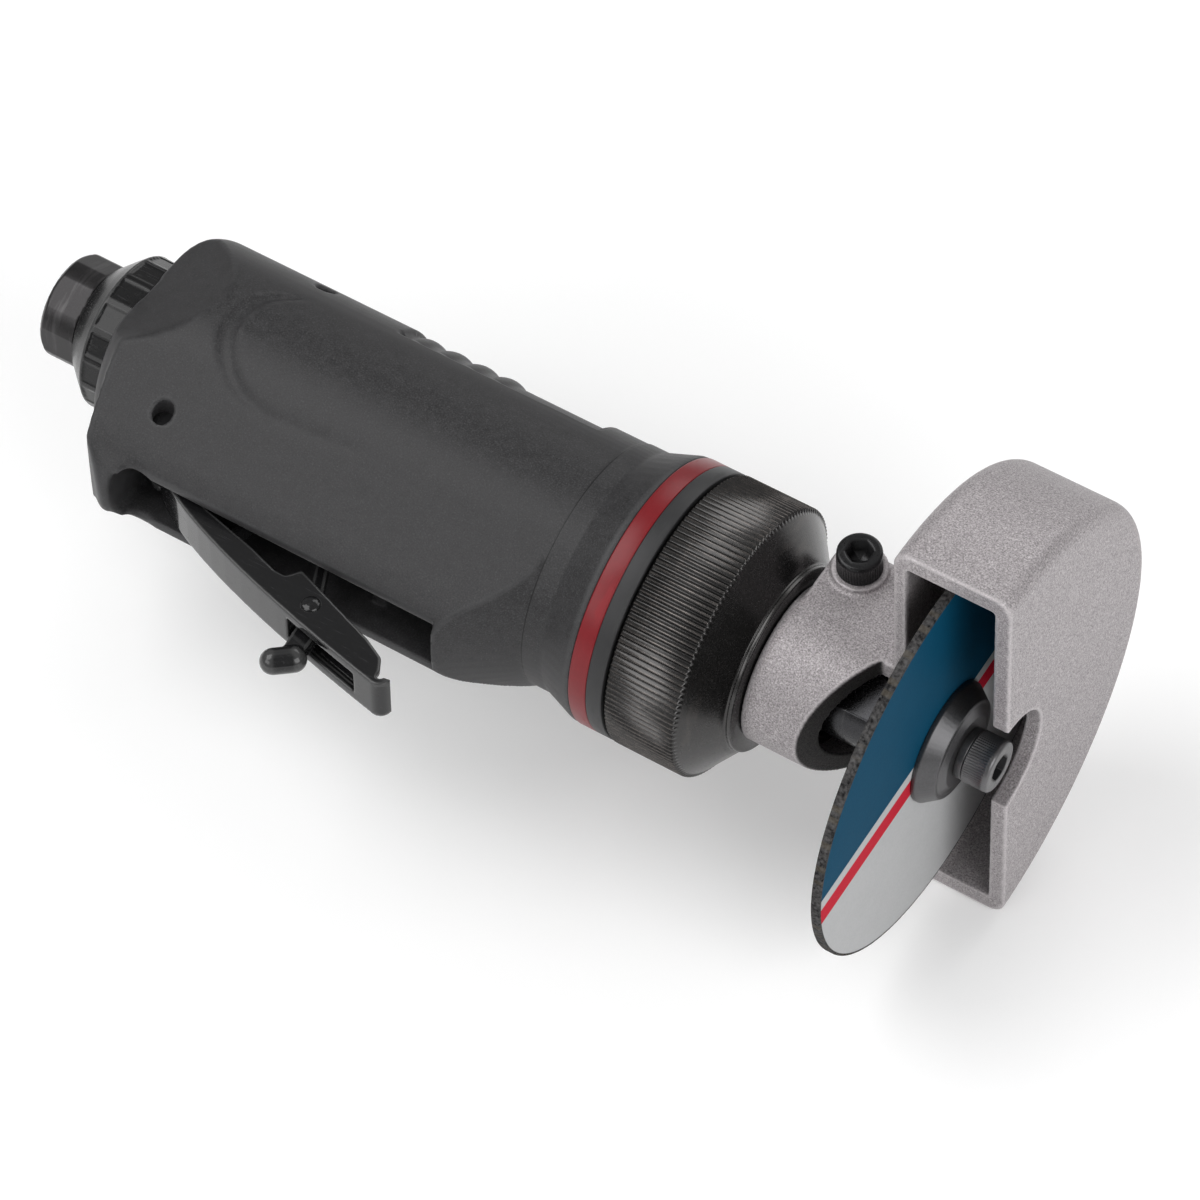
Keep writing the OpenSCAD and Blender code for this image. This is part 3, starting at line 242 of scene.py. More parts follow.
def charcoal_mould():
    """Matte charcoal moulding with a fine speckle, a painted highlight along its edges and a painted
    shade line along the parting line.
    """
    dark, light = (0.012, 0.0117, 0.0124), (0.041, 0.0402, 0.0420)
    # The second and third colours are a painted edge highlight and a painted shade for the parting
    # line.
    spark, edge_highlight, seam_shade = (0.080, 0.080, 0.082), (0.075, 0.075, 0.077), (0.002, 0.002, 0.002)
    f = Finish("charcoal_mould", Specular_IOR_Level=0.32)
    grain = f.effect(GRAIN, Scale=4000.0, Contrast=2.8)
    colour = f.blend(grain["Value"], dark, light)
    colour = f.blend(ramp(f.tree, grain["Height"], low=0.58, high=0.76, to_high=0.5), colour, spark)
    # Painted highlight: proud edges are made lighter.
    edge_highlight_mask = ramp(f.tree, f.attribute("edge"), low=0.45, high=1.0, to_high=0.30)
    colour = f.blend(edge_highlight_mask, colour, edge_highlight)
    # Painted shade: a near-black line along the parting line stands in for the shade in its small
    # groove.
    along = split_place(f.tree, place(f.tree))["X"]
    off_line = maths(f.tree, "ABSOLUTE", maths(f.tree, "SUBTRACT", along, PARTING_X))
    line = ramp(f.tree, off_line, low=0.05 * MM, high=0.14 * MM, to_low=0.9, to_high=0.0)
    f.feed("Base Color", f.blend(line, colour, seam_shade))
    f.grainy_roughness(grain["Value"], 0.42, 0.54)
    f.bump(grain["Height"], strength=0.20, depth=0.06 * MM)
    return f.material


def gloss_enamel(name, base, rough, coat):
    """Gloss black enamel with hairline rub marks and a painted highlight along its edges."""
    # The colour of a painted highlight along proud edges.
    edge_highlight = (0.10, 0.10, 0.10)
    f = Finish(name, Coat_Weight=coat, Coat_Roughness=0.06, Specular_IOR_Level=0.32)
    marks = f.effect(HAIR, Scale=260.0, Stretch=9.0, Amount=0.5)["Mask"]
    dust = f.effect(GRAIN, Scale=1400.0, Contrast=1.4)
    colour = f.mottle(dust["Value"], base, 0.8, 1.3)
    # Painted highlight: proud edges are made lighter.
    colour = f.blend(ramp(f.tree, f.attribute("edge"), low=0.55, high=1.0, to_high=0.4), colour, edge_highlight)
    f.feed("Base Color", f.blend(marks, colour, shade(base, 3.0)))
    f.feed("Roughness", ramp(f.tree, marks, low=0.0, high=0.5, to_low=rough, to_high=rough + 0.2))
    f.bump(dust["Height"], strength=0.05, depth=0.04 * MM)
    return f.material


def dark_steel(name, base, worn, rough, rim=None, even=0.0, metallic=0.85, tooth_marks=0.12):
    """Blackened steel with fine machining grain, worn bright between the two radii in rim."""
    f = Finish(name, Metallic=metallic)
    grain = f.effect(GRAIN, Scale=3200.0, Contrast=1.3)
    marks = f.effect(HAIR, Scale=420.0, Stretch=0.12, Amount=0.55)["Mask"]
    colour = f.mottle(grain["Value"], base, 0.7, 1.3)
    colour = f.blend(marks, colour, tuple(0.5 * (a + b) for a, b in zip(base, worn)))
    if rim:
        mask = f.effect(RIM, From=rim[0], To=rim[1], Patch=700.0, Even=even)["Mask"]
        colour = f.blend(mask, colour, worn)
    f.feed("Base Color", colour)
    f.grainy_roughness(grain["Value"], rough - 0.07, rough + 0.07)
    f.bump(grain["Height"], strength=tooth_marks, depth=0.04 * MM)
    return f.material


def satin_paint(name, base, rough):
    """Smooth coloured ring with a soft satin skin and small rubs."""
    f = Finish(name, Specular_IOR_Level=0.35)
    grain = f.effect(GRAIN, Scale=900.0, Contrast=1.2)
    marks = f.effect(HAIR, Scale=500.0, Stretch=0.2, Amount=0.4)["Mask"]
    colour = f.mottle(grain["Value"], base, 0.85, 1.15)
    f.feed("Base Color", f.blend(marks, colour, tuple(1.5 * c + 0.01 for c in base)))
    f.feed("Roughness", ramp(f.tree, marks, low=0.0, high=0.4, to_low=rough, to_high=rough + 0.15))
    f.bump(grain["Height"], strength=0.06, depth=0.05 * MM)
    return f.material


def blasted_alloy():
    """Cast aluminium, blasted to a sparkling grey, with a painted highlight along its edges and painted
    shade on its slanted cut face.
    """
    dark, light = (0.185, 0.171, 0.175), (0.545, 0.508, 0.519)
    # The second colour here is a painted edge highlight.
    spark, edge_highlight = (0.80, 0.77, 0.78), (0.64, 0.605, 0.615)
    # Colours of the painted shade on the slanted cut face.
    cut_shade_dark, cut_shade_light = (0.030, 0.029, 0.029), (0.105, 0.100, 0.100)
    f = Finish("blasted_alloy", Metallic=0.45)
    height = f.effect(GRAIN, Scale=3800.0, Contrast=1.0)["Height"]
    speckle = ramp(f.tree, height, low=0.30, high=0.70)
    colour = f.blend(speckle, dark, light)
    colour = f.blend(ramp(f.tree, height, low=0.62, high=0.76, to_high=0.6), colour, spark)
    # Painted highlight: proud edges are made lighter.
    colour = f.blend(ramp(f.tree, f.attribute("edge"), low=0.5, high=1.0, to_high=0.4), colour, edge_highlight)
    # Painted shade: the slanted cut face is made dark, as if it were turned away from the light.
    cut = f.blend(speckle, cut_shade_dark, cut_shade_light)
    f.feed("Base Color", f.blend(f.attribute("cut"), colour, cut))
    f.feed("Roughness", ramp(f.tree, height, low=0.3, high=0.7, to_low=0.62, to_high=0.46))
    f.bump(height, strength=0.35, depth=0.06 * MM)
    return f.material


STRIPE_TURN = math.radians(6.8)
STRIPE_LOW, STRIPE_HIGH, STRIPE_PALE = -1.45 * MM, 2.6 * MM, 5.0 * MM
LABEL_R = 37.0 * MM
PRINT_EDGE = 0.06 * MM
WEAVE = 2100.0  # radians per metre


def printed_disc(front_x):
    """Abrasive disc: a two-tone printed face with a red stripe, gritty edge and woven back."""
    teal_dark, teal_light = (0.0018, 0.043, 0.088), (0.0036, 0.065, 0.124)
    pale_dark, pale_light = (0.385, 0.388, 0.392), (0.490, 0.494, 0.498)
    red, thread = (0.47, 0.0135, 0.0315), (0.13, 0.11, 0.08)
    stone_dark, stone_light = (0.006, 0.006, 0.0065), (0.105, 0.102, 0.102)
    f = Finish("printed_disc", Specular_IOR_Level=0.04)
    tree = f.tree
    split = split_place(tree, place(tree))

    def step_up(value, at):
        return ramp(tree, value, at - PRINT_EDGE, at + PRINT_EDGE)

    def step_down(value, at):
        return ramp(tree, value, at - PRINT_EDGE, at + PRINT_EDGE, to_low=1.0, to_high=0.0)

    def wave(key):
        return maths(tree, "SINE", maths(tree, "MULTIPLY", split[key], WEAVE))

    across = maths(tree, "ADD", maths(tree, "MULTIPLY", split["Y"], -math.sin(STRIPE_TURN)),
                   maths(tree, "MULTIPLY", split["Z"], math.cos(STRIPE_TURN)))
    grain = f.effect(GRAIN, Scale=2400.0, Contrast=1.2)
    grit = f.effect(GRAIN, Scale=1500.0, Contrast=3.0)
    teal = f.blend(grain["Value"], teal_dark, teal_light)
    pale = f.blend(grain["Value"], pale_dark, pale_light)
    colour = f.blend(step_up(across, STRIPE_PALE), pale, teal)
    stripe = maths(tree, "MULTIPLY", step_up(across, STRIPE_LOW), step_down(across, STRIPE_HIGH))
    colour = f.blend(stripe, colour, red)
    on_label = step_down(axis_distance(tree, split), LABEL_R)
    on_front = ramp(tree, split["X"], front_x - 0.10 * MM, front_x - 0.04 * MM)
    printed = maths(tree, "MULTIPLY", on_label, on_front)
    stone = f.blend(grit["Value"], stone_dark, stone_light)
    weave = ramp(tree, maths(tree, "MULTIPLY", wave("Y"), wave("Z")), low=0.2, high=0.6, to_high=0.3)
    f.feed("Base Color", f.blend(printed, f.blend(weave, stone, thread), colour))
    f.feed("Roughness", ramp(tree, printed, low=0.0, high=1.0, to_low=0.85, to_high=0.55))
    unprinted = ramp(tree, printed, low=0.0, high=1.0, to_low=1.0, to_high=0.12)
    f.bump(maths(tree, "MULTIPLY", grit["Height"], unprinted), strength=0.7, depth=0.25 * MM)
    return f.material


def plain_metal(name, base, rough):
    """Ground or drawn metal of a piece inside the tool."""
    f = Finish(name, Metallic=1.0)
    grain = f.effect(GRAIN, Scale=2600.0, Contrast=1.0)
    f.feed("Base Color", f.mottle(grain["Value"], base, 0.8, 1.2))
    f.grainy_roughness(grain["Value"], rough - 0.06, rough + 0.06)
    return f.material


def plain_soft(name, base, rough, scale):
    """Rubber, felt or resin of a piece inside the tool."""
    f = Finish(name, Specular_IOR_Level=0.3)
    grain = f.effect(GRAIN, Scale=scale, Contrast=1.6)
    f.feed("Base Color", f.mottle(grain["Value"], base, 0.75, 1.25))
    f.grainy_roughness(grain["Value"], rough - 0.08, rough)
    f.bump(grain["Height"], strength=0.3, depth=0.08 * MM)
    return f.material


DISC_FRONT_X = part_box("cutting_disc")[1].x
BROWN_WEAR = (0.135, 0.121, 0.113)
NUT_RIM, BOLT_RIM = (23.36 * MM, 23.58 * MM), (2.25 * MM, 2.6 * MM)
finishes = {
    "housing": charcoal_mould(),
    "inlet_steel": dark_steel("gunmetal", (0.036, 0.0345, 0.0355), (0.13, 0.125, 0.127), 0.36),
    "exhaust_black": gloss_enamel("gloss_black_ring", (0.006, 0.006, 0.0063), 0.22, 0.0),
    "felt": plain_soft("felt", (0.35, 0.29, 0.21), 0.95, 1200.0),
    "accent_red": satin_paint("red_satin", (0.175, 0.0055, 0.0095), 0.34),
    "spacer_black": satin_paint("black_satin", (0.024, 0.024, 0.025), 0.46),
    "nut_steel": dark_steel("black_oxide_nut", (0.060, 0.0585, 0.058), BROWN_WEAR, 0.25,
                            rim=NUT_RIM, even=0.3, metallic=0.9, tooth_marks=0.02),
    "motor_steel": plain_metal("ground_steel", (0.50, 0.50, 0.50), 0.30),
    "vane": plain_soft("vane_resin", (0.18, 0.09, 0.045), 0.6, 900.0),
    "cage_brass": plain_metal("cage_brass", (0.60, 0.42, 0.15), 0.32),
    "spindle_steel": dark_steel("black_oxide", (0.093, 0.092, 0.095), (0.22, 0.215, 0.215), 0.36),
    "disc": printed_disc(DISC_FRONT_X),
    "guard_alloy": blasted_alloy(),
    "lever_black": gloss_enamel("gloss_black_enamel", (0.008, 0.008, 0.0085), 0.14, 0.2),
    "rubber": plain_soft("nitrile", (0.02, 0.02, 0.02), 0.7, 1500.0),
    "brass": plain_metal("turned_brass", (0.30, 0.21, 0.08), 0.3),
    "spring_steel": plain_metal("spring_wire", (0.42, 0.42, 0.43), 0.3),
}
bolt_finish = dark_steel("black_oxide_bolt", (0.012, 0.012, 0.013), (0.15, 0.148, 0.152), 0.34,
                         rim=BOLT_RIM, even=0.85)
shaft_finish = dark_steel("black_oxide_shaft", (0.042, 0.042, 0.045), (0.16, 0.158, 0.16), 0.28)
screw_finish = dark_steel("black_oxide_screw", (0.018, 0.018, 0.019), (0.12, 0.118, 0.12), 0.30,
                          metallic=0.5)
# Nodes whose finish isn't the one of their slot
node_finish = {"spindle": shaft_finish, "disc_bolt": bolt_finish, "guard_screw": screw_finish,
               "lever_pin": screw_finish, "valve_bush": screw_finish, "valve_stem": screw_finish}


def dress(obj, node):
    obj.data.materials.clear()
    obj.data.materials.append(node_finish.get(node, finishes[node_slot[node]]))


# Mesh building blocks

def vertex_points(mesh):
    points = np.empty(3 * len(mesh.vertices))
    mesh.vertices.foreach_get("co", points)
    return points.reshape(-1, 3)


def set_points(mesh, points):
    mesh.vertices.foreach_set("co", points.ravel())
    mesh.update()


def store(mesh, name, values):
    layer = mesh.attributes.new(name, "FLOAT", "POINT")
    layer.data.foreach_set("value", values.astype(np.float32))


def edge_pairs(mesh):
    """(start and end vertex of each edge, number of edges at each vertex)."""
    pairs = np.empty(2 * len(mesh.edges), np.int32)
    mesh.edges.foreach_get("vertices", pairs)
    pairs = pairs.reshape(-1, 2)
    counts = np.bincount(pairs.ravel(), minlength=len(mesh.vertices)).astype(float)
    return pairs, np.maximum(counts, 1.0)


def neighbour_mean(values, pairs, counts):
    total = np.zeros_like(values)
    for axis in range(values.shape[1]):
        column = values[:, axis]
        total[:, axis] = (np.bincount(pairs[:, 0], column[pairs[:, 1]], len(column))
                          + np.bincount(pairs[:, 1], column[pairs[:, 0]], len(column)))
    return total / counts[:, None]


SHRINK, GROW = 0.5, -0.52


def soften(mesh, rounds, blends=()):
    """Rounds off edges in pairs of a shrinking and a growing step, which keep the size.

    Each blend, a (weight of each point in mm, rounds) pair, then smooths one region further."""
    pairs, counts = edge_pairs(mesh)
    points = vertex_points(mesh)
    for _ in range(rounds):
        for share in (SHRINK, GROW):
            points = points + share * (neighbour_mean(points, pairs, counts) - points)
    for weight_of, blend_rounds in blends:
        weight = weight_of(*(points / MM).T)[:, None]
        for _ in range(blend_rounds):
            points = points + SHRINK * weight * (neighbour_mean(points, pairs, counts) - points)
    set_points(mesh, points)


def between(values, low, high, soft):
    """1 between low and high, falling to 0 over the width soft inside both."""
    return np.clip((values - low) / soft, 0.0, 1.0) * np.clip((high - values) / soft, 0.0, 1.0)


EDGE_ROUNDS = 8


def mark_edges(mesh, reach):
    """Stores how far each vertex stands proud of its neighbourhood, from 0 to 1, as edge, the mask of
    the painted edge highlights.
    """
    pairs, counts = edge_pairs(mesh)
    points = vertex_points(mesh)
    normals = np.empty(3 * len(mesh.vertices))
    mesh.vertex_normals.foreach_get("vector", normals)
    mean = points
    for _ in range(EDGE_ROUNDS):
        mean = neighbour_mean(mean, pairs, counts)
    proud = np.einsum("ij,ij->i", points - mean, normals.reshape(-1, 3))
    store(mesh, "edge", np.clip(proud / reach, 0.0, 1.0))


LEAST_WEIGHT = 0.01


def seat(mesh, source, weight_of):
    """Puts vertices back on the CAD surface by their weight, so that creases stay crisp there."""
    tree = BVHTree.FromPolygons([v.co for v in source.vertices],
                                [p.vertices for p in source.polygons])
    points = vertex_points(mesh)
    weight = weight_of(*(points / MM).T)
    for i in np.nonzero(weight > LEAST_WEIGHT)[0]:
        near = np.array(tree.find_nearest(points[i])[0])
        points[i] += weight[i] * (near - points[i])
    set_points(mesh, points)


def evaluated_mesh(obj):
    """A new mesh of an object with its modifiers applied."""
    evaluated = obj.evaluated_get(bpy.context.evaluated_depsgraph_get())
    return bpy.data.meshes.new_from_object(evaluated)


def settle(name, mesh, node):
    """Puts a mesh in the scene in a CAD node's place, on its body and with its finish."""
    mesh.name = name
    obj = bpy.data.objects.new(name, mesh)
    collection.objects.link(obj)
    mesh.polygons.foreach_set("use_smooth", [True] * len(mesh.polygons))
    dress(obj, node)
    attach(obj, node_body[node])
    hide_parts(node)
    return obj


WELD = 0.001 * MM


def soft_copy(node, voxel, rounds, reach, blends=(), crisp=None, reshape=None):
    """A copy of a CAD node with its edges rounded off, which stands for the node.

    crisp gives the weight with which points go back on the CAD surface.
    reshape changes the solid first."""
    source = nodes[node]
    draft = bpy.data.objects.new("draft", source.data.copy())
    collection.objects.link(draft)
    shape = bmesh.new()
    shape.from_mesh(draft.data)
    bmesh.ops.remove_doubles(shape, verts=shape.verts, dist=WELD)
    shape.to_mesh(draft.data)
    shape.free()
    if reshape:
        reshape(draft)
    skin = draft.modifiers.new("skin", "REMESH")
    skin.mode = "VOXEL"
    skin.voxel_size = voxel
    skin.adaptivity = 0.0
    mesh = evaluated_mesh(draft)
    bpy.data.objects.remove(draft)
    soften(mesh, rounds, blends)
    if crisp:
        seat(mesh, source.data, crisp)
    mark_edges(mesh, reach)
    return settle(node + "_skin", mesh, node)


ROUND_STEPS = 3
MOST_OF_SIDE = 0.45


def rounded(profile, radius):
    """A closed outline of (x, r) points with each corner rounded off."""
    out = []
    count = len(profile)
    for i, corner in enumerate(profile):
        here = np.array(corner)
        back = np.array(profile[i - 1]) - here
        ahead = np.array(profile[(i + 1) % count]) - here
        back_l, ahead_l = np.linalg.norm(back), np.linalg.norm(ahead)
        cut = min(radius, MOST_OF_SIDE * back_l, MOST_OF_SIDE * ahead_l)
        start = here + back / back_l * cut
        end = here + ahead / ahead_l * cut
        for t in np.linspace(0.0, 1.0, ROUND_STEPS + 1):
            out.append((1 - t) ** 2 * start + 2 * t * (1 - t) * here + t ** 2 * end)
    return out


TURNED_WELD = 0.0005 * MM


def turned_mesh(profile, segments, ripple=None, ring=True):
    """A body turned about the tool axis from an outline in mm, closed or ending on the axis.

    ripple changes a radius by its place along the outline and its angle."""
    outline = np.array(profile)
    points = []
    for angle in np.linspace(0.0, 2 * math.pi, segments, endpoint=False):
        for x, r in outline:
            out = ripple(x, r, angle) if ripple else r
            points.append((x * MM, out * math.cos(angle) * MM, out * math.sin(angle) * MM))
    count = len(outline)
    faces = []
    for i in range(segments):
        this, following = i * count, ((i + 1) % segments) * count
        for j in range(count if ring else count - 1):
            ahead = (j + 1) % count
            faces.append((this + j, this + ahead, following + ahead, following + j))
    mesh = bpy.data.meshes.new("turned")
    mesh.from_pydata(points, [], faces)
    shape = bmesh.new()
    shape.from_mesh(mesh)
    bmesh.ops.remove_doubles(shape, verts=shape.verts, dist=TURNED_WELD)
    bmesh.ops.recalc_face_normals(shape, faces=shape.faces)
    shape.to_mesh(mesh)
    shape.free()
    return mesh


def radii(node):
    """(least, greatest) distance of a CAD node from the tool axis, in mm."""
    far = [math.hypot(v.co.y, v.co.z) / MM for v in nodes[node].data.vertices]
    return min(far), max(far)


def ends(node):
    """(rear, front) of a CAD node along the tool axis, in mm."""
    low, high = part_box(node)
    return low.x / MM, high.x / MM


RING_SEGMENTS = 180


def ring_piece(node, radius):
    """A plain turned ring that stands for a CAD ring, with rounded corners."""
    inner, outer = radii(node)
    rear, front = ends(node)
    outline = rounded([(rear, inner), (rear, outer), (front, outer), (front, inner)], radius)
    return settle(node + "_turned", turned_mesh(outline, RING_SEGMENTS), node)


def tooth(angle, count):
    """0 at the middle of a knurl valley and 1 on a tooth's crest."""
    return abs(2.0 * ((angle * count / (2 * math.pi)) % 1.0) - 1.0)


def hex_radius(angle, across_corners):
    sixth = math.pi / 3
    return across_corners * math.cos(sixth / 2) / math.cos(angle % sixth - sixth / 2)


NUT_TEETH, BOLT_TEETH, SCREW_TEETH = 136, 60, 48
KNURL_X, CONE_X, CONE_R, NUT_FRONT_X = 132.6, 137.9, 16.2, 138.8
NUT_BORE_R, NUT_BORE_X, NOSE_R, NOSE_BORE_R = 20.6, 128.2, 9.6, 8.0
NUT_TOOTH_DEPTH, NUT_TOOTH_ROOM, NUT_ROUND, CONE_STEPS = 0.52, 0.45, 0.3, 8
NUT_STEP_POINTS = 2 * (ROUND_STEPS + 1)  # of its three corners the step has the first two


def knurled_nut():
    """The nose nut with teeth that end on its cone."""
    rear, front = ends("nose_nut")
    outer = radii("nose_nut")[1]

    def ripple(x, r, angle):
        if r < outer - NUT_TOOTH_ROOM:
            return r
        return r - NUT_TOOTH_DEPTH * (1.0 - tooth(angle, NUT_TEETH))

    rear_edge = [(rear, NUT_BORE_R), (rear, outer - 0.62), (rear + 0.35, outer)]
    front_edge = [(KNURL_X - 0.25, outer), (KNURL_X, outer - 0.14), (KNURL_X + 0.22, outer - 0.80)]
    cone = np.linspace((KNURL_X + 0.5, outer - 1.15), (CONE_X - 0.25, CONE_R + 0.35), CONE_STEPS)
    step = rounded([(CONE_X, CONE_R), (NUT_FRONT_X, CONE_R), (NUT_FRONT_X, NOSE_R)], NUT_ROUND)
    nose = [(NUT_FRONT_X, NOSE_R), (front - NUT_ROUND, NOSE_R), (front, NOSE_R - NUT_ROUND)]
    bore = [(front, NOSE_BORE_R), (NUT_BORE_X, NOSE_BORE_R), (NUT_BORE_X, NUT_BORE_R)]
    outline = rear_edge + front_edge + list(cone) + step[:NUT_STEP_POINTS] + nose + bore
    return settle("nose_nut_turned", turned_mesh(outline, 8 * NUT_TEETH, ripple), "nose_nut")


SAME_R = 1e-6
TIP_CHAMFER, HEAD_CHAMFER, HEAD_ROUND, HEAD_TOOTH_DEPTH = 0.4, 0.2, 0.55, 0.15
MOUTH_CHAMFER, MOUTH_DEPTH, KEY_CONE = 0.25, 0.12, 0.4
# Rings of a head on both sides of each end of its teeth: in mm from under, then as shares of the head
PLAIN_BELOW, TEETH_FROM, TEETH_LOW = 0.15, 0.2, 0.25
TEETH_HIGH, TEETH_TO, PLAIN_ABOVE = 0.74, 0.78, 0.80
HEAD_BEND_SHARES = (0.3, 0.6, 0.8, 1.0)


def cap_screw(node, tip, under, top, shank_r, head_r, key_r, key_depth, teeth, turn):
    """A cap screw with a knurled head and a hexagon socket, its axis turned into place.

    Its head lies between under and top."""
    length = top - under

    def ripple(x, r, angle):
        if abs(r - key_r) < SAME_R:
            return hex_radius(angle, key_r)
        if abs(r - head_r) < SAME_R and under + TEETH_FROM < x < under + TEETH_TO * length:
            return r - HEAD_TOOTH_DEPTH * (1.0 - tooth(angle, teeth))
        return r

    shank = [(tip, 0.0), (tip, shank_r - TIP_CHAMFER), (tip + TIP_CHAMFER, shank_r), (under, shank_r)]
    head = [(under, head_r - HEAD_CHAMFER), (under + PLAIN_BELOW, head_r), (under + TEETH_LOW, head_r),
            (under + TEETH_HIGH * length, head_r), (under + PLAIN_ABOVE * length, head_r)]
    for share in HEAD_BEND_SHARES:
        bend = 0.5 * math.pi * share
        head.append((top - HEAD_ROUND + HEAD_ROUND * math.sin(bend),
                     head_r - HEAD_ROUND + HEAD_ROUND * math.cos(bend)))
    socket = [(top, key_r + MOUTH_CHAMFER), (top - MOUTH_DEPTH, key_r), (top - key_depth, key_r),
              (top - key_depth - KEY_CONE, 0.0)]
    mesh = turned_mesh(shank + head + socket, 6 * teeth, ripple, ring=False)
    mesh.transform(turn)
    return settle(node + "_turned", mesh, node)


# Pieces

for plain in nodes.values():
    dress(plain, plain.name)


def tongue_weight(x, y, z):
    """The side tongue and its groove."""
    return between(x, 31.0, 82.0, 2.0) * between(y, -17.0, 11.5, 1.5) * between(abs(z), 9.0, 30.0, 1.5)


def lower_groove_weight(x, y, z):
    """The fading lower line of the tongue."""
    return between(x, 36.0, 96.0, 3.0) * between(y, -17.0, -4.0, 1.5) * between(abs(z), 9.0, 30.0, 1.5)


def facet_weight(x, y, z):
    """Where the rear facets run out into the grip."""
    return between(x, 18.8, 31.0, 1.4) * between(y, -16.0, 6.0, 2.0) * between(abs(z), 8.0, 30.0, 2.0)


def everywhere(x, y, z):
    return np.ones_like(x)


def hook_weight(x, y, z):
    """The lip of the rear hook at the lever channel's mouth."""
    return between(x, 24.0, 36.0, 2.0) * between(y, -38.0, -22.8, 1.2)


PIVOT_X, PIVOT_Y, PIVOT_REACH = 33.6, -19.3, 4.5


def crisp_weight(x, y, z):
    """Heel, flare, collar and the lever pin's hole, whose edges are crisp."""
    off_pin = np.hypot(x - PIVOT_X, y - PIVOT_Y)
    return np.maximum(between(x, 84.0, 130.0, 3.0), np.clip(PIVOT_REACH - off_pin, 0.0, 1.0))


soft_copy("housing", voxel=0.40 * MM, rounds=1, reach=0.12 * MM, crisp=crisp_weight,
          blends=[(facet_weight, 16), (tongue_weight, 9), (lower_groove_weight, 16), (hook_weight, 40)])

GUARD_LEAN = math.radians(5)
SLANT_X, SLANT_SLOPE = 156.6, 0.5526
COLLAR_IN_R, COLLAR_OUT_R, COLLAR_REAR_X, ARM_X, HOOD_X = 9.7, 13.6, 145.0, 151.0, 158.9
PAST_ARM, BLOCK_HALF = 0.3, 16.0
lean_turn = Matrix.Rotation(GUARD_LEAN, 4, "X")


def slanted_tube():
    """The whole clamp collar, cut off along the slant."""
    outline = [(COLLAR_REAR_X, COLLAR_IN_R), (COLLAR_REAR_X, COLLAR_OUT_R), (HOOD_X, COLLAR_OUT_R),
               (HOOD_X, COLLAR_IN_R)]
    tube = bmesh.new()
    tube.from_mesh(turned_mesh(outline, RING_SEGMENTS))
    whole = tube.verts[:] + tube.edges[:] + tube.faces[:]
    on_cut = Vector((SLANT_X * MM, 0.0, 0.0))
    out_of_cut = Vector((1.0, -SLANT_SLOPE, 0.0)).normalized()
    cut = bmesh.ops.bisect_plane(tube, geom=whole, plane_co=on_cut, plane_no=out_of_cut,
                                 clear_outer=True)
    rim = [e for e in cut["geom_cut"] if isinstance(e, bmesh.types.BMEdge)]
    bmesh.ops.triangle_fill(tube, use_beauty=True, use_dissolve=False, edges=rim)
    tube.transform(lean_turn)
    return tube


def slant_block():
    """An object that fills what the slant takes off the solid's half collar."""
    low_x = SLANT_X - SLANT_SLOPE * COLLAR_OUT_R
    past_x = ARM_X + PAST_ARM
    corners = [(low_x, -COLLAR_OUT_R), (past_x, (past_x - SLANT_X) / SLANT_SLOPE),
               (past_x, -BLOCK_HALF), (low_x, -BLOCK_HALF)]
    block = bmesh.new()
    base = block.faces.new([block.verts.new((x * MM, y * MM, -BLOCK_HALF * MM)) for x, y in corners])
    lifted = bmesh.ops.extrude_face_region(block, geom=[base])["geom"]
    bmesh.ops.translate(block, verts=[g for g in lifted if isinstance(g, bmesh.types.BMVert)],
                        vec=(0.0, 0.0, 2 * BLOCK_HALF * MM))
    bmesh.ops.recalc_face_normals(block, faces=block.faces)
    block.transform(lean_turn)
    mesh = bpy.data.meshes.new("slant_block")
    block.to_mesh(mesh)
    block.free()
    obj = bpy.data.objects.new("slant_block", mesh)
    collection.objects.link(obj)
    return obj


def slant_collar(draft):
    """Cuts the clamp collar's open side back at a slant, past the half collar of the solid."""
    tube = slanted_tube()
    block = slant_block()
    trim = draft.modifiers.new("trim", "BOOLEAN")
    trim.operation, trim.solver, trim.object = "DIFFERENCE", "EXACT", block
    trimmed = evaluated_mesh(draft)
    draft.modifiers.clear()
    bpy.data.objects.remove(block)
    tube.from_mesh(trimmed)
    tube.to_mesh(trimmed)
    tube.free()
    draft.data = trimmed


guard_skin = soft_copy("guard", voxel=0.32 * MM, rounds=1, reach=0.10 * MM, reshape=slant_collar)
CUT_REACH, CUT_FADE, CUT_SPILL, WALL_FADE = 0.45, 0.2, 0.3, 0.25


def mark_cut_shade(mesh):
    """Stores where the guard's slanted cut is, as cut, the mask of the painted shade on the cut face.
    """
    points = vertex_points(mesh) / MM
    cos, sin = math.cos(GUARD_LEAN), math.sin(GUARD_LEAN)
    across, up = np.array([[cos, sin], [-sin, cos]]) @ points[:, 1:].T
    off_cut = abs(points[:, 0] - SLANT_X - SLANT_SLOPE * across)
    on_wall = between(np.hypot(across, up), COLLAR_IN_R - CUT_SPILL, COLLAR_OUT_R, WALL_FADE)
    share = np.clip((CUT_REACH - off_cut) / CUT_FADE, 0.0, 1.0) * on_wall
    store(mesh, "cut", share * (across < CUT_SPILL))


mark_cut_shade(guard_skin.data)
soft_copy("outer_flange", voxel=0.15 * MM, rounds=2, reach=0.04 * MM)
soft_copy("spindle", voxel=0.2 * MM, rounds=2, reach=0.05 * MM)
soft_copy("throttle_lever", voxel=0.2 * MM, rounds=2, reach=0.05 * MM, blends=[(everywhere, 7)])
soft_copy("lock_latch", voxel=0.2 * MM, rounds=4, reach=0.05 * MM)
soft_copy("exhaust_ring", voxel=0.22 * MM, rounds=3, reach=0.05 * MM)
soft_copy("air_inlet", voxel=0.25 * MM, rounds=2, reach=0.05 * MM)
knurled_nut()

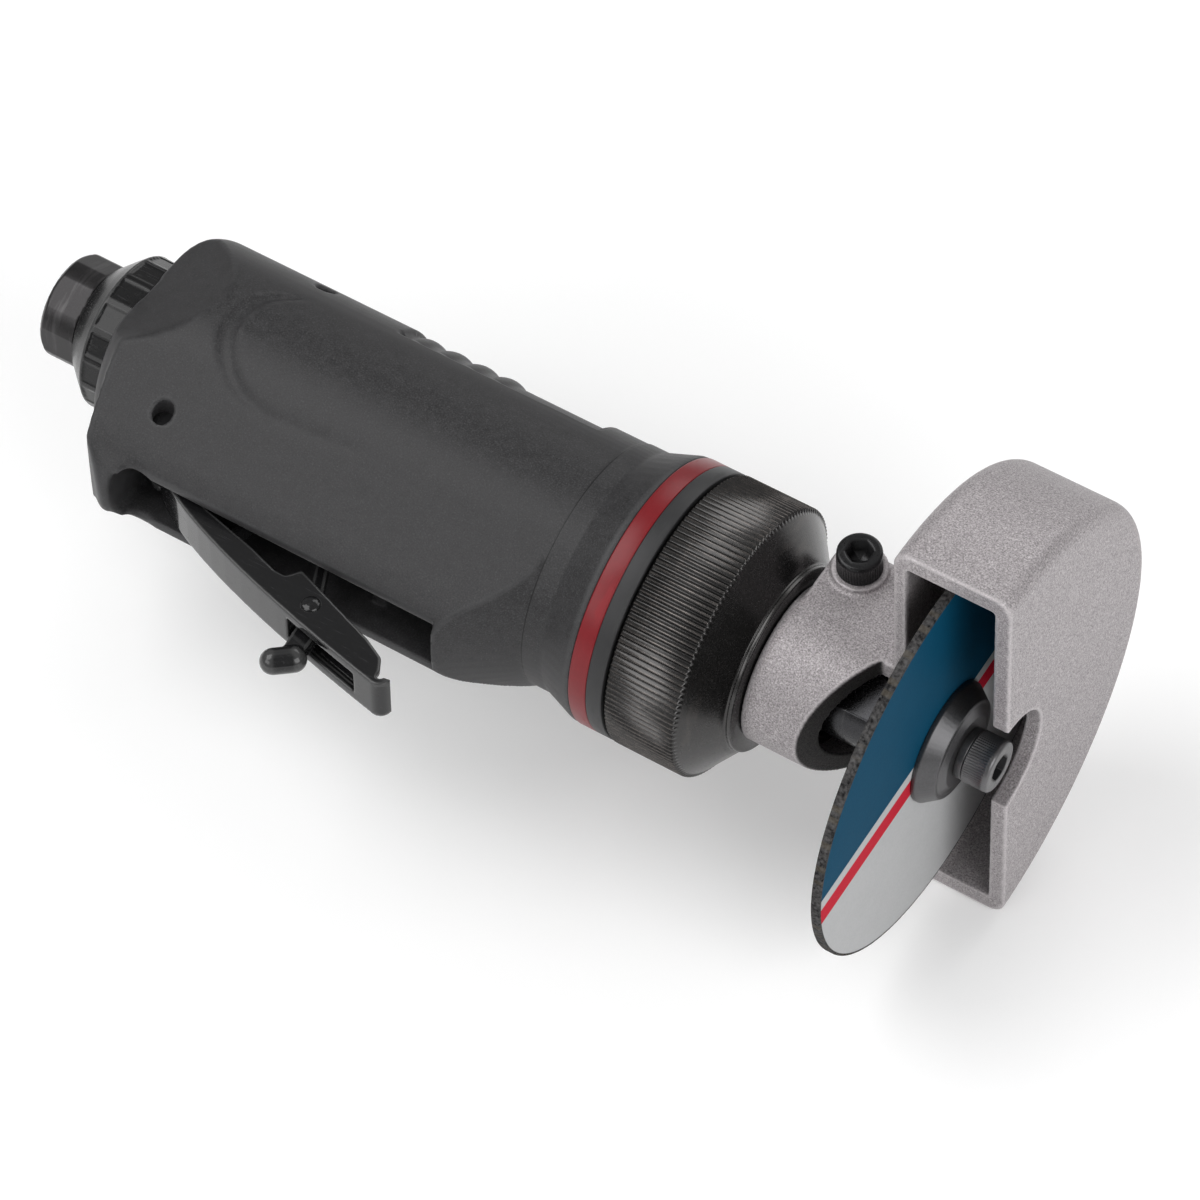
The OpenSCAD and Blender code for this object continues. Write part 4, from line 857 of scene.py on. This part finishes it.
SCREW_X, SCREW_Y = 144.9, 13.2
screw_turn = (lean_turn @ Matrix.Translation((SCREW_X * MM, SCREW_Y * MM, 0.0))
              @ Matrix.Rotation(-math.pi / 2, 4, "Y"))
cap_screw("disc_bolt", tip=155.8, under=173.4, top=178.0, shank_r=2.5, head_r=4.45,
          key_r=2.3, key_depth=2.6, teeth=BOLT_TEETH, turn=Matrix.Identity(4))
cap_screw("guard_screw", tip=-7.4, under=14.0, top=18.4, shank_r=2.5, head_r=3.7,
          key_r=2.2, key_depth=2.4, teeth=SCREW_TEETH, turn=screw_turn)

RING_ROUND = 0.25
for ring in ("accent_ring", "spacer_ring", "cutting_disc", "bolt_washer"):
    ring_piece(ring, RING_ROUND)


# Stage, light and camera

CAM_AZIMUTH, CAM_ELEVATION = math.radians(32.6), math.radians(51.86)
CAM_PLACE = Vector((0.39746, -0.45829, 0.6845))
CAM_FOCUS_PIXELS, PHOTO_PIXELS, SENSOR = 5478.13, 1200, 36.0


def camera():
    data = bpy.data.cameras.new("camera")
    data.sensor_width = SENSOR
    data.lens = CAM_FOCUS_PIXELS * SENSOR / PHOTO_PIXELS
    data.clip_start, data.clip_end = 0.01, 20.0
    obj = bpy.data.objects.new("camera", data)
    back = Vector((math.sin(CAM_AZIMUTH) * math.cos(CAM_ELEVATION),
                   -math.cos(CAM_AZIMUTH) * math.cos(CAM_ELEVATION), math.sin(CAM_ELEVATION)))
    right = Vector((math.cos(CAM_AZIMUTH), math.sin(CAM_AZIMUTH), 0.0))
    turn = Matrix((right, back.cross(right), back)).transposed().to_4x4()
    obj.matrix_world = Matrix.Translation(CAM_PLACE) @ turn
    collection.objects.link(obj)
    bpy.context.scene.camera = obj


def seen_directly(tree):
    """1 for rays from the camera, or by way of gloss or glass."""
    rays = put(tree, "LightPath").outputs
    seen = maths(tree, "MAXIMUM", rays["Is Camera Ray"], rays["Is Glossy Ray"])
    return maths(tree, "MAXIMUM", seen, rays["Is Transmission Ray"])


FLOOR_COLOUR, FLOOR_GLOW = (0.92, 0.92, 0.92), 0.12
FLOOR_HALF, FLOOR_DROP = 6.0, 0.4 * MM
WHITE = (1.0, 1.0, 1.0, 1.0)


def floor():
    mesh = bpy.data.meshes.new("floor")
    size, low = FLOOR_HALF, cad_box[0].z - FLOOR_DROP
    corners = [(-size, -size, low), (size, -size, low), (size, size, low), (-size, size, low)]
    mesh.from_pydata(corners, [], [(0, 1, 2, 3)])
    obj = bpy.data.objects.new("floor", mesh)
    collection.objects.link(obj)
    material = bpy.data.materials.new("pale_floor")
    material.use_nodes = True
    tree = material.node_tree
    shader = tree.nodes["Principled BSDF"]
    shader.inputs["Base Color"].default_value = (*FLOOR_COLOUR, 1.0)
    shader.inputs["Roughness"].default_value = 0.9
    shader.inputs["Specular IOR Level"].default_value = 0.0
    shader.inputs["Emission Color"].default_value = WHITE
    glow = maths(tree, "MULTIPLY", seen_directly(tree), FLOOR_GLOW)
    tree.links.new(glow, shader.inputs["Emission Strength"])
    mesh.materials.append(material)


WORLD_LIGHT = 0.32


def world():
    sky = bpy.data.worlds.new("studio")
    bpy.context.scene.world = sky
    sky.use_nodes = True
    background = sky.node_tree.nodes["Background"]
    background.inputs["Color"].default_value = WHITE
    background.inputs["Strength"].default_value = WORLD_LIGHT


MIDDLE = Vector((0.09, -0.005, 0.0))


def softbox(name, place_at, size, power):
    data = bpy.data.lights.new(name, "AREA")
    data.shape = "RECTANGLE"
    data.size, data.size_y = size
    data.energy = power
    obj = bpy.data.objects.new(name, data)
    obj.location = place_at
    obj.rotation_euler = (MIDDLE - Vector(place_at)).to_track_quat("-Z", "Y").to_euler()
    collection.objects.link(obj)


camera()
floor()
world()
softbox("key", place_at=(-0.35, -0.25, 0.85), size=(0.7, 0.7), power=5.0)
softbox("fill", place_at=(0.80, -0.25, 0.45), size=(0.6, 0.6), power=3.8)
softbox("front", place_at=(-0.18, -0.66, 0.38), size=(0.5, 0.3), power=1.2)
softbox("back", place_at=(0.1, 0.8, 0.6), size=(0.8, 0.5), power=2.4)
bpy.context.scene.view_settings.view_transform = "Standard"
